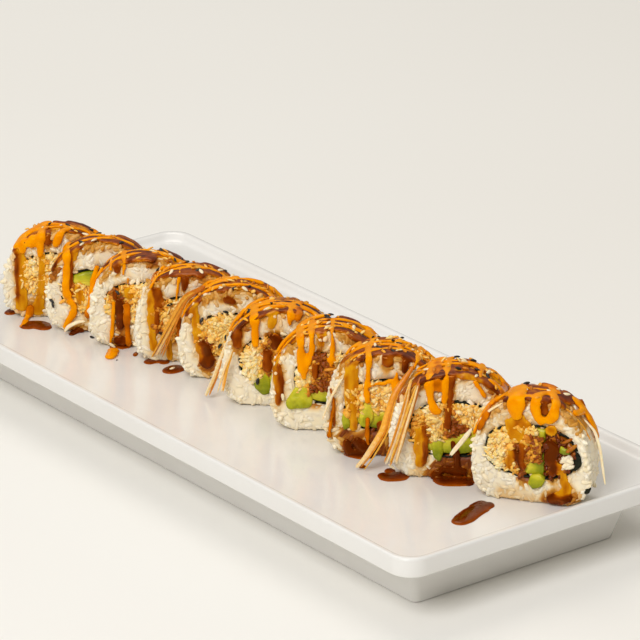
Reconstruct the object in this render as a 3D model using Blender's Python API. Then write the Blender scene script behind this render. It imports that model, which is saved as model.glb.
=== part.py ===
"""Ten sauced roll slices standing in a stepped row on a white rectangular plate."""
import math
import random

import bmesh
import bpy
from mathutils import Vector

MM = 0.001

# Plate, outside sizes in millimetres.
PLATE_LENGTH = 312.0
PLATE_WIDTH = 130.0
PLATE_HEIGHT = 28.0
LIP_BOTTOM = 20.6
LIP_WIDTH = 2.5
LIP_ROUND = 0.9
CORNER_RADIUS = 9.0
FLOOR = 25.0
BASE_TOP_INSET = 13.6
BASE_FOOT_INSET = 19.2
FOOT_WIDTH = 4.5
RECESS_ROOF = 20.2
CORNER_STEPS = 4

# Space left between neighbouring pieces, millimetres.
GAP = 0.3

# Section of a slice: how high its widest place lies, and how square it is above and below.
WIDE_AT = 0.33
TOP_POWER = 2.15
BASE_POWER = 3.0
FLAT_DEPTH = 1.12
RING_STEPS = 30
FACE_BUMP = 0.8
SIDE_BUMP = 0.5
EDGE_ROUND = 2.0
SHEET = 0.7

# Thickness of a sauce line and its clear space in front of the cut face.
SAUCE_THICK = 1.5
SAUCE_CLEAR = 0.55


class Slice:
    """One slice: place of its face, turn, size, filling and sauce lines, all in millimetres."""

    def __init__(self, name, place, turn, size, loop, cut, lines):
        self.name = name
        self.x, self.y = place
        self.turn = math.radians(turn)
        self.half, self.height, self.depth = size
        self.loop = loop
        self.cut = cut
        self.lines = lines

    def world(self, across, out, up):
        """Turn a place on the slice (across, out of the face, up) into metres on the plate."""
        side = (math.cos(self.turn), math.sin(self.turn))
        front = (math.sin(self.turn), -math.cos(self.turn))
        x = self.x + across * side[0] + out * front[0]
        y = self.y + across * side[1] + out * front[1]
        return Vector((x * MM, y * MM, (FLOOR + GAP + up) * MM))


# loop: half width, half height, centre across, centre up.
# cut: direction in degrees and distance of the line that parts crab from avocado.
# lines: across, lower end, width of each thick sauce line.
SLICES = (
    Slice("a", (-108.2, -26.3), 49, (21.5, 34.5, 14.0), (15.5, 9.5, 0.0, 17.5), (-35, 5.0),
          ((-15.6, 5.0, 3.4), (-6.6, 3.0, 3.0))),
    Slice("b", (-85.0, -21.9), 49, (21.5, 35.5, 13.4), (16.0, 9.6, 0.0, 16.8), (80, 1.0),
          ((-13.3, 3.0, 3.2), (-5.8, 7.0, 2.8))),
    Slice("c", (-62.2, -17.7), 49, (21.5, 35.5, 13.2), (15.8, 9.0, 0.0, 17.8), (-35, 5.0),
          ((-13.4, 3.0, 2.4), (-6.9, 3.0, 3.2))),
    Slice("d", (-39.3, -12.8), 49, (21.5, 35.5, 13.0), (16.0, 9.2, 0.0, 17.6), (-35, 5.0),
          ((-14.8, 7.0, 3.4), (-5.6, 20.0, 2.4))),
    Slice("e", (-15.5, -9.6), 49, (21.5, 35.0, 14.6), (16.0, 9.2, 0.0, 17.6), (-35, 5.0),
          ((-12.6, 4.0, 4.0), (-5.4, 27.0, 2.6))),
    Slice("f", (15.9, -11.7), 49, (22.0, 36.5, 17.0), (16.0, 10.6, 0.0, 17.6), (-62, 2.0),
          ((-14.8, 22.0, 3.2), (-8.4, 22.0, 4.4))),
    Slice("g", (45.4, -11.8), 49, (22.0, 38.0, 17.5), (13.4, 10.6, 0.0, 20.6), (-70, 3.0),
          ((-9.2, 19.0, 5.4), (-2.6, 23.0, 2.6))),
    Slice("h", (75.7, -10.0), 49, (22.0, 38.5, 17.5), (15.5, 10.4, 0.0, 19.6), (-80, 1.5),
          ((-12.8, 10.0, 4.4), (-5.6, 3.0, 2.8))),
    Slice("i", (105.4, -3.6), 49, (22.5, 39.0, 16.4), (15.8, 11.0, 0.0, 19.0), (-72, 2.5),
          ((-5.8, 24.0, 6.4), (-13.2, 23.0, 3.0))),
    Slice("j", (138.0, 4.4), 35, (21.4, 39.0, 14.2), (17.0, 10.2, 0.3, 19.4), (-14, -0.5),
          ((-6.4, 27.0, 7.2), (3.6, 30.5, 7.0), (12.6, 27.0, 6.0))),
)
SECOND_CUT = {"j": (0, 5.0)}

# Shreds: slice, then places (across, out, up), width and thickness.
SHREDS = (
    ("b", ((-14.5, 3.0, 0.9), (-12.6, 3.0, 3.4), (-9.0, 3.2, 5.4), (-6.0, 3.4, 5.8)), 1.6, 0.9),
    ("e", ((-11.4, -5.0, 35.2), (-19.0, -8.0, 29.6), (-23.4, -10.0, 21.0), (-27.5, -12.5, 12.0),
           (-31.5, -13.0, 3.5)), 2.8, 1.2),
    ("f", ((-20.5, -1.5, 24.5), (-22.8, -2.5, 17.0), (-25.8, -4.2, 8.3), (-29.0, -6.3, 0.9)), 1.2, 0.9),
    ("f", ((-17.5, 3.0, 23.5), (-20.0, 3.0, 16.0), (-22.0, 3.0, 6.5)), 1.1, 0.9),
    ("i", ((-14.5, -14.0, 37.0), (-20.8, -9.0, 28.8), (-23.2, -6.5, 22.0), (-25.0, -4.0, 15.5),
           (-31.0, -4.0, 5.5), (-34.5, -5.0, 1.0)), 2.6, 1.2),
    ("i", ((-15.0, -6.0, 35.2), (-15.8, 0.5, 34.0), (-16.6, 3.2, 30.5), (-18.4, 3.2, 23.0),
           (-21.0, 3.2, 13.5), (-23.6, 2.8, 6.0)), 1.6, 1.0),
    ("i", ((-11.6, -4.0, 37.2), (-12.4, 1.5, 36.0), (-13.6, 3.2, 31.5), (-16.2, 3.4, 22.0),
           (-18.4, 3.4, 13.0), (-20.0, 3.0, 6.5)), 1.8, 1.0),
    ("j", ((-21.0, 0.0, 25.5), (-25.0, -0.5, 19.5), (-29.5, -1.5, 13.5)), 2.0, 1.2),
)

# Sauce pools on the plate: name, slice, across, out, half length, half width, turn in degrees.
POOLS = (
    ("a", "a", -11.0, 4.6, 7.0, 3.2, 12),
    ("c", "c", -11.2, 4.6, 5.0, 3.2, -10),
    ("d", "d", -9.0, 5.6, 8.0, 3.2, -14),
    ("h", "h", -11.0, 3.8, 7.5, 2.4, -6),
    ("i", "i", -20.0, 3.4, 6.2, 3.0, 8),
    ("j", "j", -18.5, 9.0, 9.5, 4.4, 38),
)
POOL_THICK = 1.1


def clear_scene():
    """Empty the scene."""
    for item in list(bpy.data.objects):
        bpy.data.objects.remove(item, do_unlink=True)


def linear(value):
    """Turn one display colour step into its linear value."""
    part = value / 255.0
    if part <= 0.04045:
        return part / 12.92
    return ((part + 0.055) / 1.055) ** 2.4


def material(name, colour, roughness):
    """Make a plain non-metal material from a display colour."""
    mat = bpy.data.materials.new(name)
    mat.use_nodes = True
    shader = mat.node_tree.nodes["Principled BSDF"]
    rgb = [linear(int(colour[i:i + 2], 16)) for i in (1, 3, 5)]
    shader.inputs["Base Color"].default_value = (*rgb, 1.0)
    shader.inputs["Roughness"].default_value = roughness
    shader.inputs["Metallic"].default_value = 0.0
    mat.diffuse_color = (*rgb, 1.0)
    return mat


def mesh_object(name, verts, faces, mat, smooth=True):
    """Make one object from points in metres, with its faces turned outwards."""
    mesh = bpy.data.meshes.new(name)
    mesh.from_pydata([tuple(v) for v in verts], [], faces)
    work = bmesh.new()
    work.from_mesh(mesh)
    bmesh.ops.recalc_face_normals(work, faces=work.faces)
    work.to_mesh(mesh)
    work.free()
    for face in mesh.polygons:
        face.use_smooth = smooth
    mesh.set_sharp_from_angle(angle=math.radians(40))
    item = bpy.data.objects.new(name, mesh)
    item.data.materials.append(mat)
    bpy.context.scene.collection.objects.link(item)
    return item


def rings_to_faces(count, steps, closed):
    """Join rings of equal step count by quads; closed also joins the last to the first."""
    faces = []
    last = count if closed else count - 1
    for ring in range(last):
        low = ring * steps
        high = ((ring + 1) % count) * steps
        for step in range(steps):
            after = (step + 1) % steps
            faces.append((low + step, low + after, high + after, high + step))
    return faces


def plate_ring(inset, height):
    """Points of one rounded rectangle of the plate, drawn in by inset, at one height."""
    half_x = PLATE_LENGTH / 2 - inset
    half_y = PLATE_WIDTH / 2 - inset
    radius = max(CORNER_RADIUS - 0.45 * inset, 3.0)
    points = []
    for corner, (sx, sy) in enumerate(((1, 1), (-1, 1), (-1, -1), (1, -1))):
        for step in range(CORNER_STEPS + 1):
            angle = math.pi / 2 * (corner + step / CORNER_STEPS)
            x = sx * (half_x - radius) + radius * math.cos(angle)
            y = sy * (half_y - radius) + radius * math.sin(angle)
            points.append((x * MM, y * MM, height * MM))
    return points


def plate():
    """Plate with a thin rolled lip, a soft well, a tapered base and a recess below."""
    wall_in = BASE_FOOT_INSET + FOOT_WIDTH
    section = (
        (wall_in + 3.0, RECESS_ROOF),
        (wall_in, RECESS_ROOF - 2.5),
        (wall_in, 0.0),
        (BASE_FOOT_INSET + 0.5, 0.0),
        (BASE_FOOT_INSET, 0.6),
        (BASE_TOP_INSET, LIP_BOTTOM - 0.8),
        (BASE_TOP_INSET - 1.2, LIP_BOTTOM),
        (0.7, LIP_BOTTOM),
        (0.0, LIP_BOTTOM + 0.7),
        (0.0, PLATE_HEIGHT - LIP_ROUND),
        (LIP_ROUND, PLATE_HEIGHT),
        (LIP_WIDTH, PLATE_HEIGHT - 0.1),
        (LIP_WIDTH + 1.4, FLOOR + 1.2),
        (LIP_WIDTH + 3.2, FLOOR + 0.35),
        (LIP_WIDTH + 7.5, FLOOR),
    )
    verts = []
    for inset, height in section:
        verts.extend(plate_ring(inset, height))
    steps = 4 * (CORNER_STEPS + 1)
    faces = rings_to_faces(len(section), steps, False)
    faces.append(tuple(range(steps)))
    first = (len(section) - 1) * steps
    faces.append(tuple(range(first, first + steps)))
    porcelain = material("white_glazed_porcelain", "#efeae0", 0.18)
    return mesh_object("plate", verts, faces, porcelain)


def power_point(angle, half_w, up, down, low_power, high_power):
    """Point of a rounded outline about its own middle, squarer as the powers grow."""
    c = math.cos(angle)
    s = math.sin(angle)
    power = high_power if s >= 0 else low_power
    reach = up if s >= 0 else down
    x = half_w * math.copysign(abs(c) ** (2 / power), c)
    z = reach * math.copysign(abs(s) ** (2 / power), s)
    return x, z


def even_steps(dense, count):
    """Pick points at even distances along a closed outline."""
    lengths = [0.0]
    for first, second in zip(dense, dense[1:] + dense[:1]):
        lengths.append(lengths[-1] + math.dist(first, second))
    total = lengths[-1]
    picked = []
    place = 0
    for step in range(count):
        want = total * step / count
        while lengths[place + 1] < want:
            place += 1
        share = (want - lengths[place]) / (lengths[place + 1] - lengths[place])
        a = dense[place]
        b = dense[(place + 1) % len(dense)]
        picked.append((a[0] + share * (b[0] - a[0]), a[1] + share * (b[1] - a[1])))
    return picked


def outline(piece, count):
    """Domed outer outline of a slice standing on a flat base."""
    middle = WIDE_AT * piece.height
    dense = []
    for step in range(360):
        angle = 2 * math.pi * step / 360
        x, z = power_point(angle, piece.half, piece.height - middle, middle * FLAT_DEPTH,
                           BASE_POWER, TOP_POWER)
        dense.append((x, max(z + middle, 0.0)))
    return even_steps(dense, count)


def loop_outline(piece, shrink, count):
    """Outline of the filling loop, drawn in by shrink."""
    half_w, half_h, x0, z0 = piece.loop
    dense = []
    for step in range(360):
        angle = 2 * math.pi * step / 360
        x, z = power_point(angle, half_w - shrink, half_h - shrink, half_h - shrink, 2.5, 2.3)
        dense.append((x + x0, z + z0))
    return even_steps(dense, count)


def top_at(piece, across):
    """Height of the outer outline above one place across the slice."""
    middle = WIDE_AT * piece.height
    share = min(abs(across) / piece.half, 0.98)
    return middle + (piece.height - middle) * (1 - share ** TOP_POWER) ** (1 / TOP_POWER)


def keep_off_lip(piece, point):
    """Draw a place of the last slice in where it would touch the lip of the plate."""
    if piece.name != "j":
        return point
    inner = PLATE_LENGTH / 2 - LIP_WIDTH - 0.9
    if point.z < (PLATE_HEIGHT + 0.6) * MM:
        point.x = min(point.x, (inner - 0.5 * (PLATE_HEIGHT + 0.6 - point.z / MM)) * MM)
    point.x = min(point.x, (PLATE_LENGTH / 2 - 0.4) * MM)
    return point


def rice(piece, mat, rng):
    """Ring of rice round the filling, uneven by grain-sized bumps, cut faces before and behind."""
    outer = outline(piece, RING_STEPS)
    inner = loop_outline(piece, 0.0, RING_STEPS)
    depth = piece.depth
    stations = ((0.0, 0.0, 0), (0.4, 0.0, 1), (0.8, 0.0, 1), (1.0, -EDGE_ROUND, 2),
                (1.0, -depth * 0.38, 2), (1.0, -depth * 0.64, 2), (1.0, EDGE_ROUND - depth, 2),
                (0.8, -depth, 3), (0.0, -depth, 0))
    verts = []
    for share, out, kind in stations:
        for (ox, oz), (ix, iz) in zip(outer, inner):
            x = ix + share * (ox - ix)
            z = iz + share * (oz - iz)
            deep = out
            if kind == 1:
                deep = out - rng.uniform(0.0, FACE_BUMP)
            if kind == 3:
                deep = out + rng.uniform(0.0, FACE_BUMP)
            if kind == 2:
                grow = 1.0 + rng.uniform(-SIDE_BUMP, 0.0) / piece.half
                x = x * grow
                z = max(z * grow, 0.0)
            verts.append(keep_off_lip(piece, piece.world(x, deep, z)))
    faces = rings_to_faces(len(stations), RING_STEPS, True)
    return mesh_object("rice_" + piece.name, verts, faces, mat)


def sauce_line(piece, across, lower, width, mat):
    """Thick sauce line over the top of a slice and down in front of its face."""
    top = top_at(piece, across)
    lean = 0.12 * across
    out = SAUCE_CLEAR + SAUCE_THICK / 2
    path = [(across - lean, -0.62 * piece.depth, top_at(piece, across - lean) + 0.1),
            (across - lean / 2, -0.34 * piece.depth, top_at(piece, across - lean / 2) + 0.35),
            (across, -1.6, top - 0.1),
            (across, 0.5, top - 1.9),
            (across, out, top - 4.6)]
    low = top - 4.6
    count = max(int((low - lower) / 6.0), 1)
    for step in range(1, count + 1):
        path.append((across + 0.3 * math.sin(step), out, low + (lower - low) * step / count))
    return tube("sauce", piece, path, width, SAUCE_THICK, mat, 6)


def tube(name, piece, path, width, thick, mat, sides):
    """Flat rounded strip along a path of places on a slice."""
    points = [piece.world(*place) for place in path]
    verts = []
    for number, point in enumerate(points):
        before = points[max(number - 1, 0)]
        after = points[min(number + 1, len(points) - 1)]
        along = (after - before).normalized()
        side = Vector((math.cos(piece.turn), math.sin(piece.turn), 0.0))
        side = (side - along * side.dot(along)).normalized()
        rise = along.cross(side)
        taper = 1.0
        if number in (0, len(points) - 1):
            taper = 0.6
        for step in range(sides):
            angle = 2 * math.pi * (step + 0.5) / sides
            verts.append(point + side * (math.cos(angle) * width / 2 * taper * MM)
                         + rise * (math.sin(angle) * thick / 2 * taper * MM))
    faces = rings_to_faces(len(points), sides, False)
    faces.append(tuple(range(sides)))
    first = (len(points) - 1) * sides
    faces.append(tuple(range(first, first + sides)))
    return mesh_object(name, verts, faces, mat)


def fuse(base, extras):
    """Join extra pieces into a base solid by one union."""
    group = bpy.data.collections.new("fused")
    bpy.context.scene.collection.children.link(group)
    for item in extras:
        group.objects.link(item)
    union = base.modifiers.new("union", "BOOLEAN")
    union.operation = "UNION"
    union.operand_type = "COLLECTION"
    union.collection = group
    union.solver = "EXACT"
    graph = bpy.context.evaluated_depsgraph_get()
    joined = bpy.data.meshes.new_from_object(base.evaluated_get(graph))
    base.modifiers.clear()
    base.data = joined
    for item in extras:
        bpy.data.objects.remove(item, do_unlink=True)
    bpy.data.collections.remove(group)


def nori(piece, mat):
    """Thin sheet wound once round the filling."""
    count = 22
    outer = loop_outline(piece, GAP, count)
    inner = loop_outline(piece, GAP + SHEET, count)
    verts = []
    for ring, out in ((outer, 0.15), (outer, -piece.depth), (inner, -piece.depth), (inner, 0.15)):
        for x, z in ring:
            verts.append(piece.world(x, out, z))
    faces = rings_to_faces(4, count, True)
    return mesh_object("nori_" + piece.name, verts, faces, mat)


def clip(points, angle, distance, keep):
    """Part of a rounded outline on one side of a straight line."""
    u = (math.cos(angle), math.sin(angle))
    kept = []
    for a, b in zip(points, points[1:] + points[:1]):
        da = (a[0] * u[0] + a[1] * u[1] - distance) * keep
        db = (b[0] * u[0] + b[1] * u[1] - distance) * keep
        if da >= 0:
            kept.append(a)
        if da * db < 0:
            share = da / (da - db)
            kept.append((a[0] + share * (b[0] - a[0]), a[1] + share * (b[1] - a[1])))
    return kept


def filling(name, piece, region, rounds, count, lump, mat, rng):
    """Solid that runs through the slice with lumpy rounded ends; region is its section."""
    ring = even_steps(region, count)
    middle_x = sum(p[0] for p in ring) / count
    middle_z = sum(p[1] for p in ring) / count
    verts = []
    for share, out in rounds:
        for x, z in ring:
            deep = out - rng.uniform(0.0, lump)
            if out < -1.5:
                deep = out + rng.uniform(0.0, lump)
            verts.append(piece.world(middle_x + share * (x - middle_x), deep,
                                     middle_z + share * (z - middle_z)))
    faces = rings_to_faces(len(rounds), count, False)
    start = len(verts)
    verts.append(piece.world(middle_x, rounds[0][1] - lump / 2, middle_z))
    verts.append(piece.world(middle_x, rounds[-1][1] + lump / 2, middle_z))
    last = (len(rounds) - 1) * count
    for step in range(count):
        after = (step + 1) % count
        faces.append((step, after, start))
        faces.append((last + step, last + after, start + 1))
    return mesh_object(name, verts, faces, mat)


def cut_region(piece, cut, extra):
    """Line direction and distance of a cut through the middle of the loop."""
    angle = math.radians(cut[0])
    centre = piece.loop[2] * math.cos(angle) + piece.loop[3] * math.sin(angle)
    return angle, centre + cut[1] + extra


def fill_slice(piece, mats, rng):
    """Crab and avocado of one slice, and the dark sauced part where one shows."""
    dense = loop_outline(piece, 2 * GAP + SHEET, 90)
    angle, near = cut_region(piece, piece.cut, -GAP / 2)
    crab = clip(dense, angle, near, -1)
    green = clip(dense, angle, near + GAP, 1)
    deep = piece.depth
    lumpy = ((0.45, 0.2), (0.8, 0.2), (1.0, -1.3), (1.0, 1.0 - deep), (0.8, -deep))
    plain = ((0.75, 0.2), (1.0, -0.4), (1.0, 0.5 - deep), (0.8, -deep))
    second = SECOND_CUT.get(piece.name)
    if second:
        angle, near = cut_region(piece, second, -GAP / 2)
        dark = clip(green, angle, near + GAP, 1)
        green = clip(green, angle, near, -1)
        filling("glazed_crab_" + piece.name, piece, dark, lumpy, 14, 0.9, mats["dark"], rng)
    filling("crab_" + piece.name, piece, crab, lumpy, 16, 0.9, mats["crab"], rng)
    filling("avocado_" + piece.name, piece, green, plain, 12, 0.25, mats["avocado"], rng)


def pool(name, piece, across, out, half_long, half_wide, turn, mat, rng):
    """Small flat pool of sauce on the plate with a rounded, wavy rim."""
    count = 14
    angle0 = math.radians(turn)
    rings = ((0.93, 0.0), (1.0, 0.4), (0.86, 0.85), (0.5, POOL_THICK))
    waves = [1.0 + rng.uniform(-0.16, 0.1) for _ in range(count)]
    verts = []
    for share, up in rings:
        for step in range(count):
            angle = 2 * math.pi * step / count
            a = half_long * share * waves[step] * math.cos(angle)
            b = half_wide * share * waves[step] * math.sin(angle)
            x = across + a * math.cos(angle0) - b * math.sin(angle0)
            y = out + a * math.sin(angle0) + b * math.cos(angle0)
            verts.append(piece.world(x, y, up))
    faces = rings_to_faces(len(rings), count, False)
    faces.append(tuple(range(count)))
    first = (len(rings) - 1) * count
    faces.append(tuple(range(first, first + count)))
    return mesh_object("sauce_pool_" + name, verts, faces, mat)


def build():
    """Make the plate and everything on it."""
    clear_scene()
    mats = {
        "rice": material("steamed_sushi_rice", "#e6d9bb", 0.45),
        "nori": material("roasted_seaweed_sheet", "#1f1c14", 0.4),
        "crab": material("shredded_crab_salad", "#eec07a", 0.5),
        "dark": material("sauce_soaked_crab", "#6b2d0a", 0.3),
        "avocado": material("ripe_avocado_flesh", "#b9bf3a", 0.45),
        "mayo": material("spicy_mayonnaise", "#e8940f", 0.3),
        "glaze": material("dark_soy_glaze", "#7a3206", 0.15),
        "shred": material("shredded_crab_stick", "#e9b45f", 0.4),
    }
    plate()
    rng = random.Random(41)
    by_name = {piece.name: piece for piece in SLICES}
    for piece in SLICES:
        ring = rice(piece, mats["rice"], rng)
        extras = [sauce_line(piece, *line, mats["mayo"]) for line in piece.lines]
        fuse(ring, extras)
        nori(piece, mats["nori"])
        fill_slice(piece, mats, rng)
    for number, (name, path, width, thick) in enumerate(SHREDS, 1):
        tube("shred_%d" % number, by_name[name], path, width, thick, mats["shred"], 4)
    for name, owner, across, out, half_long, half_wide, turn in POOLS:
        pool(name, by_name[owner], across, out, half_long, half_wide, turn, mats["glaze"], rng)


build()
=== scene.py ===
"""Ten slices of a sauced inside-out roll standing on a long white plate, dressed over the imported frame."""
import math

import bpy
import numpy as np
from mathutils import Matrix, Vector, noise
from mathutils.bvhtree import BVHTree
from mathutils.kdtree import KDTree


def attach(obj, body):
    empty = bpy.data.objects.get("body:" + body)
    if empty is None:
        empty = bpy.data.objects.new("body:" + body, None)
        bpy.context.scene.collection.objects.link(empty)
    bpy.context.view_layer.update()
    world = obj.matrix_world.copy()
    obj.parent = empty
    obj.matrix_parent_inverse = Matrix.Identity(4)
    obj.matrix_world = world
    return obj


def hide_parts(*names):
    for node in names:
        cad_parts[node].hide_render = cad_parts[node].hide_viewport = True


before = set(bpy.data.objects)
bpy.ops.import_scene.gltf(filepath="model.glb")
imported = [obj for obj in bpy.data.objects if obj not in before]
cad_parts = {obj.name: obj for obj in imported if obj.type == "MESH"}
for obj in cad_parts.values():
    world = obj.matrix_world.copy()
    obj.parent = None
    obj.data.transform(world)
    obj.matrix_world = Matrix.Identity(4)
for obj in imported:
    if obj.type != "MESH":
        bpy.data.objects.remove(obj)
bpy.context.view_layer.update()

# Metres in a millimetre. In millimetres: height of the plate's well, and the gap that neighbours keep.
MM = 0.001
FLOOR = 25.0
GAP = 0.3

# The photographed view: a long lens, and the place and turn of the camera in metres and degrees.
PHOTO_WIDTH = 640
LENS = 236.36
SENSOR = 36.0
CAMERA_PLACE = (1.15664, -0.87436, 0.62592)
CAMERA_DIP = 21.605
CAMERA_TURN = 52.335

# Plate, millimetres.
PLATE_LENGTH = 312.0
PLATE_WIDTH = 130.0
PLATE_HEIGHT = 28.0
LIP_BOTTOM = 20.6
LIP_WIDTH = 2.5
CORNER_RADIUS = 9.0
BASE_TOP_INSET = 13.6
BASE_FOOT_INSET = 19.2
FOOT_WIDTH = 4.5
RECESS_ROOF = 20.2

# Section of a slice: how high its widest place lies, and how square it is above and below.
WIDE_AT = 0.33
TOP_POWER = 2.15
BASE_POWER = 3.0
FLAT_DEPTH = 1.12

# Steamed short-grain rice, millimetres.
GRAIN = (4.8, 2.05, 1.75)
GRAIN_SPACE = 1.42
GRAIN_TRIES = 5200
GRAIN_TILT = 0.14
GRAIN_SUNK = (0.55, 1.0)
CORE_INSET = 0.1

# How deep sauce soaks into the rice in millimetres, and how fast its stain fades on the way.
SOAK_REACH = 2.6
SOAK_FADE = 1.8

# How far over the rice the skin lies that carries the sauce, millimetres.
SKIN_RISE = 0.25

# Sauce, millimetres: step along a stroke, and the cells in which strokes melt together on rice and plate.
SAUCE_STEP = 0.7
SAUCE_CELL = 0.5
POOL_CELL = 0.4
SMOOTHINGS = 4

# How far out of a face and to its sides a stroke may still lie on the plate, millimetres.
PLATE_OUT = 34.0
PLATE_ACROSS = 48.0

# Thickness of the nori in millimetres, and how many flakes a filling has and how many seeds are strewn on a top.
NORI_THICK = 0.42
CRAB_FLAKES = 680
SOAKED_FLAKES = 160
MIXED_FLAKES = 120
STREWN_SEEDS = 3

# Short flows of glaze on each top, step along a strand in millimetres, and the seed of all random draws.
SHORT_FLOWS = 12
STRAND_STEP = 0.9
SEED = 23


class Slice:
    """One slice: place of its face, turn, size and filling, all in millimetres."""

    def __init__(self, name, place, turn, size, loop, cut):
        self.name = name
        self.place = np.array((place[0], place[1], FLOOR + GAP))
        angle = math.radians(turn)
        self.axes = np.array(((math.cos(angle), math.sin(angle), 0.0),
                              (math.sin(angle), -math.cos(angle), 0.0),
                              (0.0, 0.0, 1.0)))
        self.half, self.height, self.depth = size
        self.loop = loop
        self.cut = cut

    def world(self, local):
        """Turn places on the slice (across, out of the face, up) into places on the plate."""
        return np.asarray(local, float) @ self.axes + self.place

    def local(self, places):
        """Turn places on the plate back into (across, out of the face, up)."""
        return (np.asarray(places, float) - self.place) @ self.axes.T


SLICES = {piece.name: piece for piece in (
    Slice("a", (-108.2, -26.3), 49, (21.5, 34.5, 14.0), (15.5, 9.5, 0.0, 17.5), (-35, 5.0)),
    Slice("b", (-85.0, -21.9), 49, (21.5, 35.5, 13.4), (16.0, 9.6, 0.0, 16.8), (80, 1.0)),
    Slice("c", (-62.2, -17.7), 49, (21.5, 35.5, 13.2), (15.8, 9.0, 0.0, 17.8), (-35, 5.0)),
    Slice("d", (-39.3, -12.8), 49, (21.5, 35.5, 13.0), (16.0, 9.2, 0.0, 17.6), (-35, 5.0)),
    Slice("e", (-15.5, -9.6), 49, (21.5, 35.0, 14.6), (16.0, 9.2, 0.0, 17.6), (-35, 5.0)),
    Slice("f", (15.9, -11.7), 49, (22.0, 36.5, 17.0), (16.0, 10.6, 0.0, 17.6), (-62, 2.0)),
    Slice("g", (45.4, -11.8), 49, (22.0, 38.0, 17.5), (13.4, 10.6, 0.0, 20.6), (-70, 3.0)),
    Slice("h", (75.7, -10.0), 49, (22.0, 38.5, 17.5), (15.5, 10.4, 0.0, 19.6), (-80, 1.5)),
    Slice("i", (105.4, -3.6), 49, (22.5, 39.0, 16.4), (15.8, 11.0, 0.0, 19.0), (-72, 2.5)),
    Slice("j", (138.0, 4.4), 35, (21.4, 39.0, 14.2), (17.0, 10.2, 0.3, 19.4), (-14, -0.5)),
)}
SOAKED_CUT = {"j": (0, 5.0)}

# How sauced the crab of a slice is, from cream to brown.
CRAB_TONE = {"c": (0.0, 0.3), "d": (0.05, 0.35), "e": (0.04, 0.4), "h": (0.0, 0.4), "i": (0.0, 0.36)}
PLAIN_CRAB = (-0.08, 0.24)
SOAKED_CRAB = (0.2, 0.7)


def linear(display):
    """Turn a display colour such as #f2ede4 into linear light."""
    steps = [int(display[i:i + 2], 16) / 255 for i in (1, 3, 5)]
    return tuple(s / 12.92 if s <= 0.04045 else ((s + 0.055) / 1.055) ** 2.4 for s in steps) + (1.0,)


def add(tree, kind, settings=(), links=()):
    """Add one shader node with its settings (sockets or options) and its incoming links."""
    node = tree.nodes.new(kind)
    for key, value in dict(settings).items():
        if key == "stops":
            stops = node.color_ramp.elements
            for number, (place, shade) in enumerate(value):
                stop = stops[number] if number < len(stops) else stops.new(place)
                stop.position = place
                stop.color = linear(shade)
        elif isinstance(key, int) or key in node.inputs:
            node.inputs[key].default_value = linear(value) if isinstance(value, str) else value
        else:
            setattr(node, key, value)
    for key, source in dict(links).items():
        tree.links.new(source, node.inputs[key])
    return node


def lumps(width):
    """Scale of a noise pattern whose lumps are about width millimetres across."""
    return 1 / (width * MM)


def new_material(name):
    """Empty node material; returns it and its tree."""
    mat = bpy.data.materials.new(name)
    mat.use_nodes = True
    mat.node_tree.nodes.clear()
    return mat, mat.node_tree


def finished(mat, shader):
    """Send the last shader to the material's output; returns the material."""
    add(mat.node_tree, "ShaderNodeOutputMaterial", (), {"Surface": shader.outputs[0]})
    return mat


def glazed_porcelain():
    """White porcelain, fired with a clear glaze: a faint warm drift in its white and a soft wet gloss."""
    mat, tree = new_material("glazed_white_porcelain")
    place = add(tree, "ShaderNodeTexCoord").outputs["Object"]
    drift = add(tree, "ShaderNodeTexNoise", {"Scale": lumps(45.4545), "Detail": 3.0}, {"Vector": place})
    white = add(tree, "ShaderNodeValToRGB", {"stops": ((0.3, "#e2dfd9"), (0.7, "#e6e4df"))},
                {"Fac": drift.outputs["Fac"]})
    # Waves of the glaze are some 6 mm long.
    fine = add(tree, "ShaderNodeTexNoise", {"Scale": lumps(6.25), "Detail": 2.0}, {"Vector": place})
    gloss = add(tree, "ShaderNodeMapRange", {"To Min": 0.16, "To Max": 0.24}, {"Value": fine.outputs["Fac"]})
    wave = add(tree, "ShaderNodeBump", {"Strength": 0.06, "Distance": 0.0008}, {"Height": fine.outputs["Fac"]})
    shader = add(tree, "ShaderNodeBsdfPrincipled", {"IOR": 1.5, "Coat Weight": 0.25, "Coat Roughness": 0.06},
                 {"Base Color": white.outputs["Color"], "Roughness": gloss.outputs["Result"],
                  "Normal": wave.outputs["Normal"]})
    return finished(mat, shader)


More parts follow.
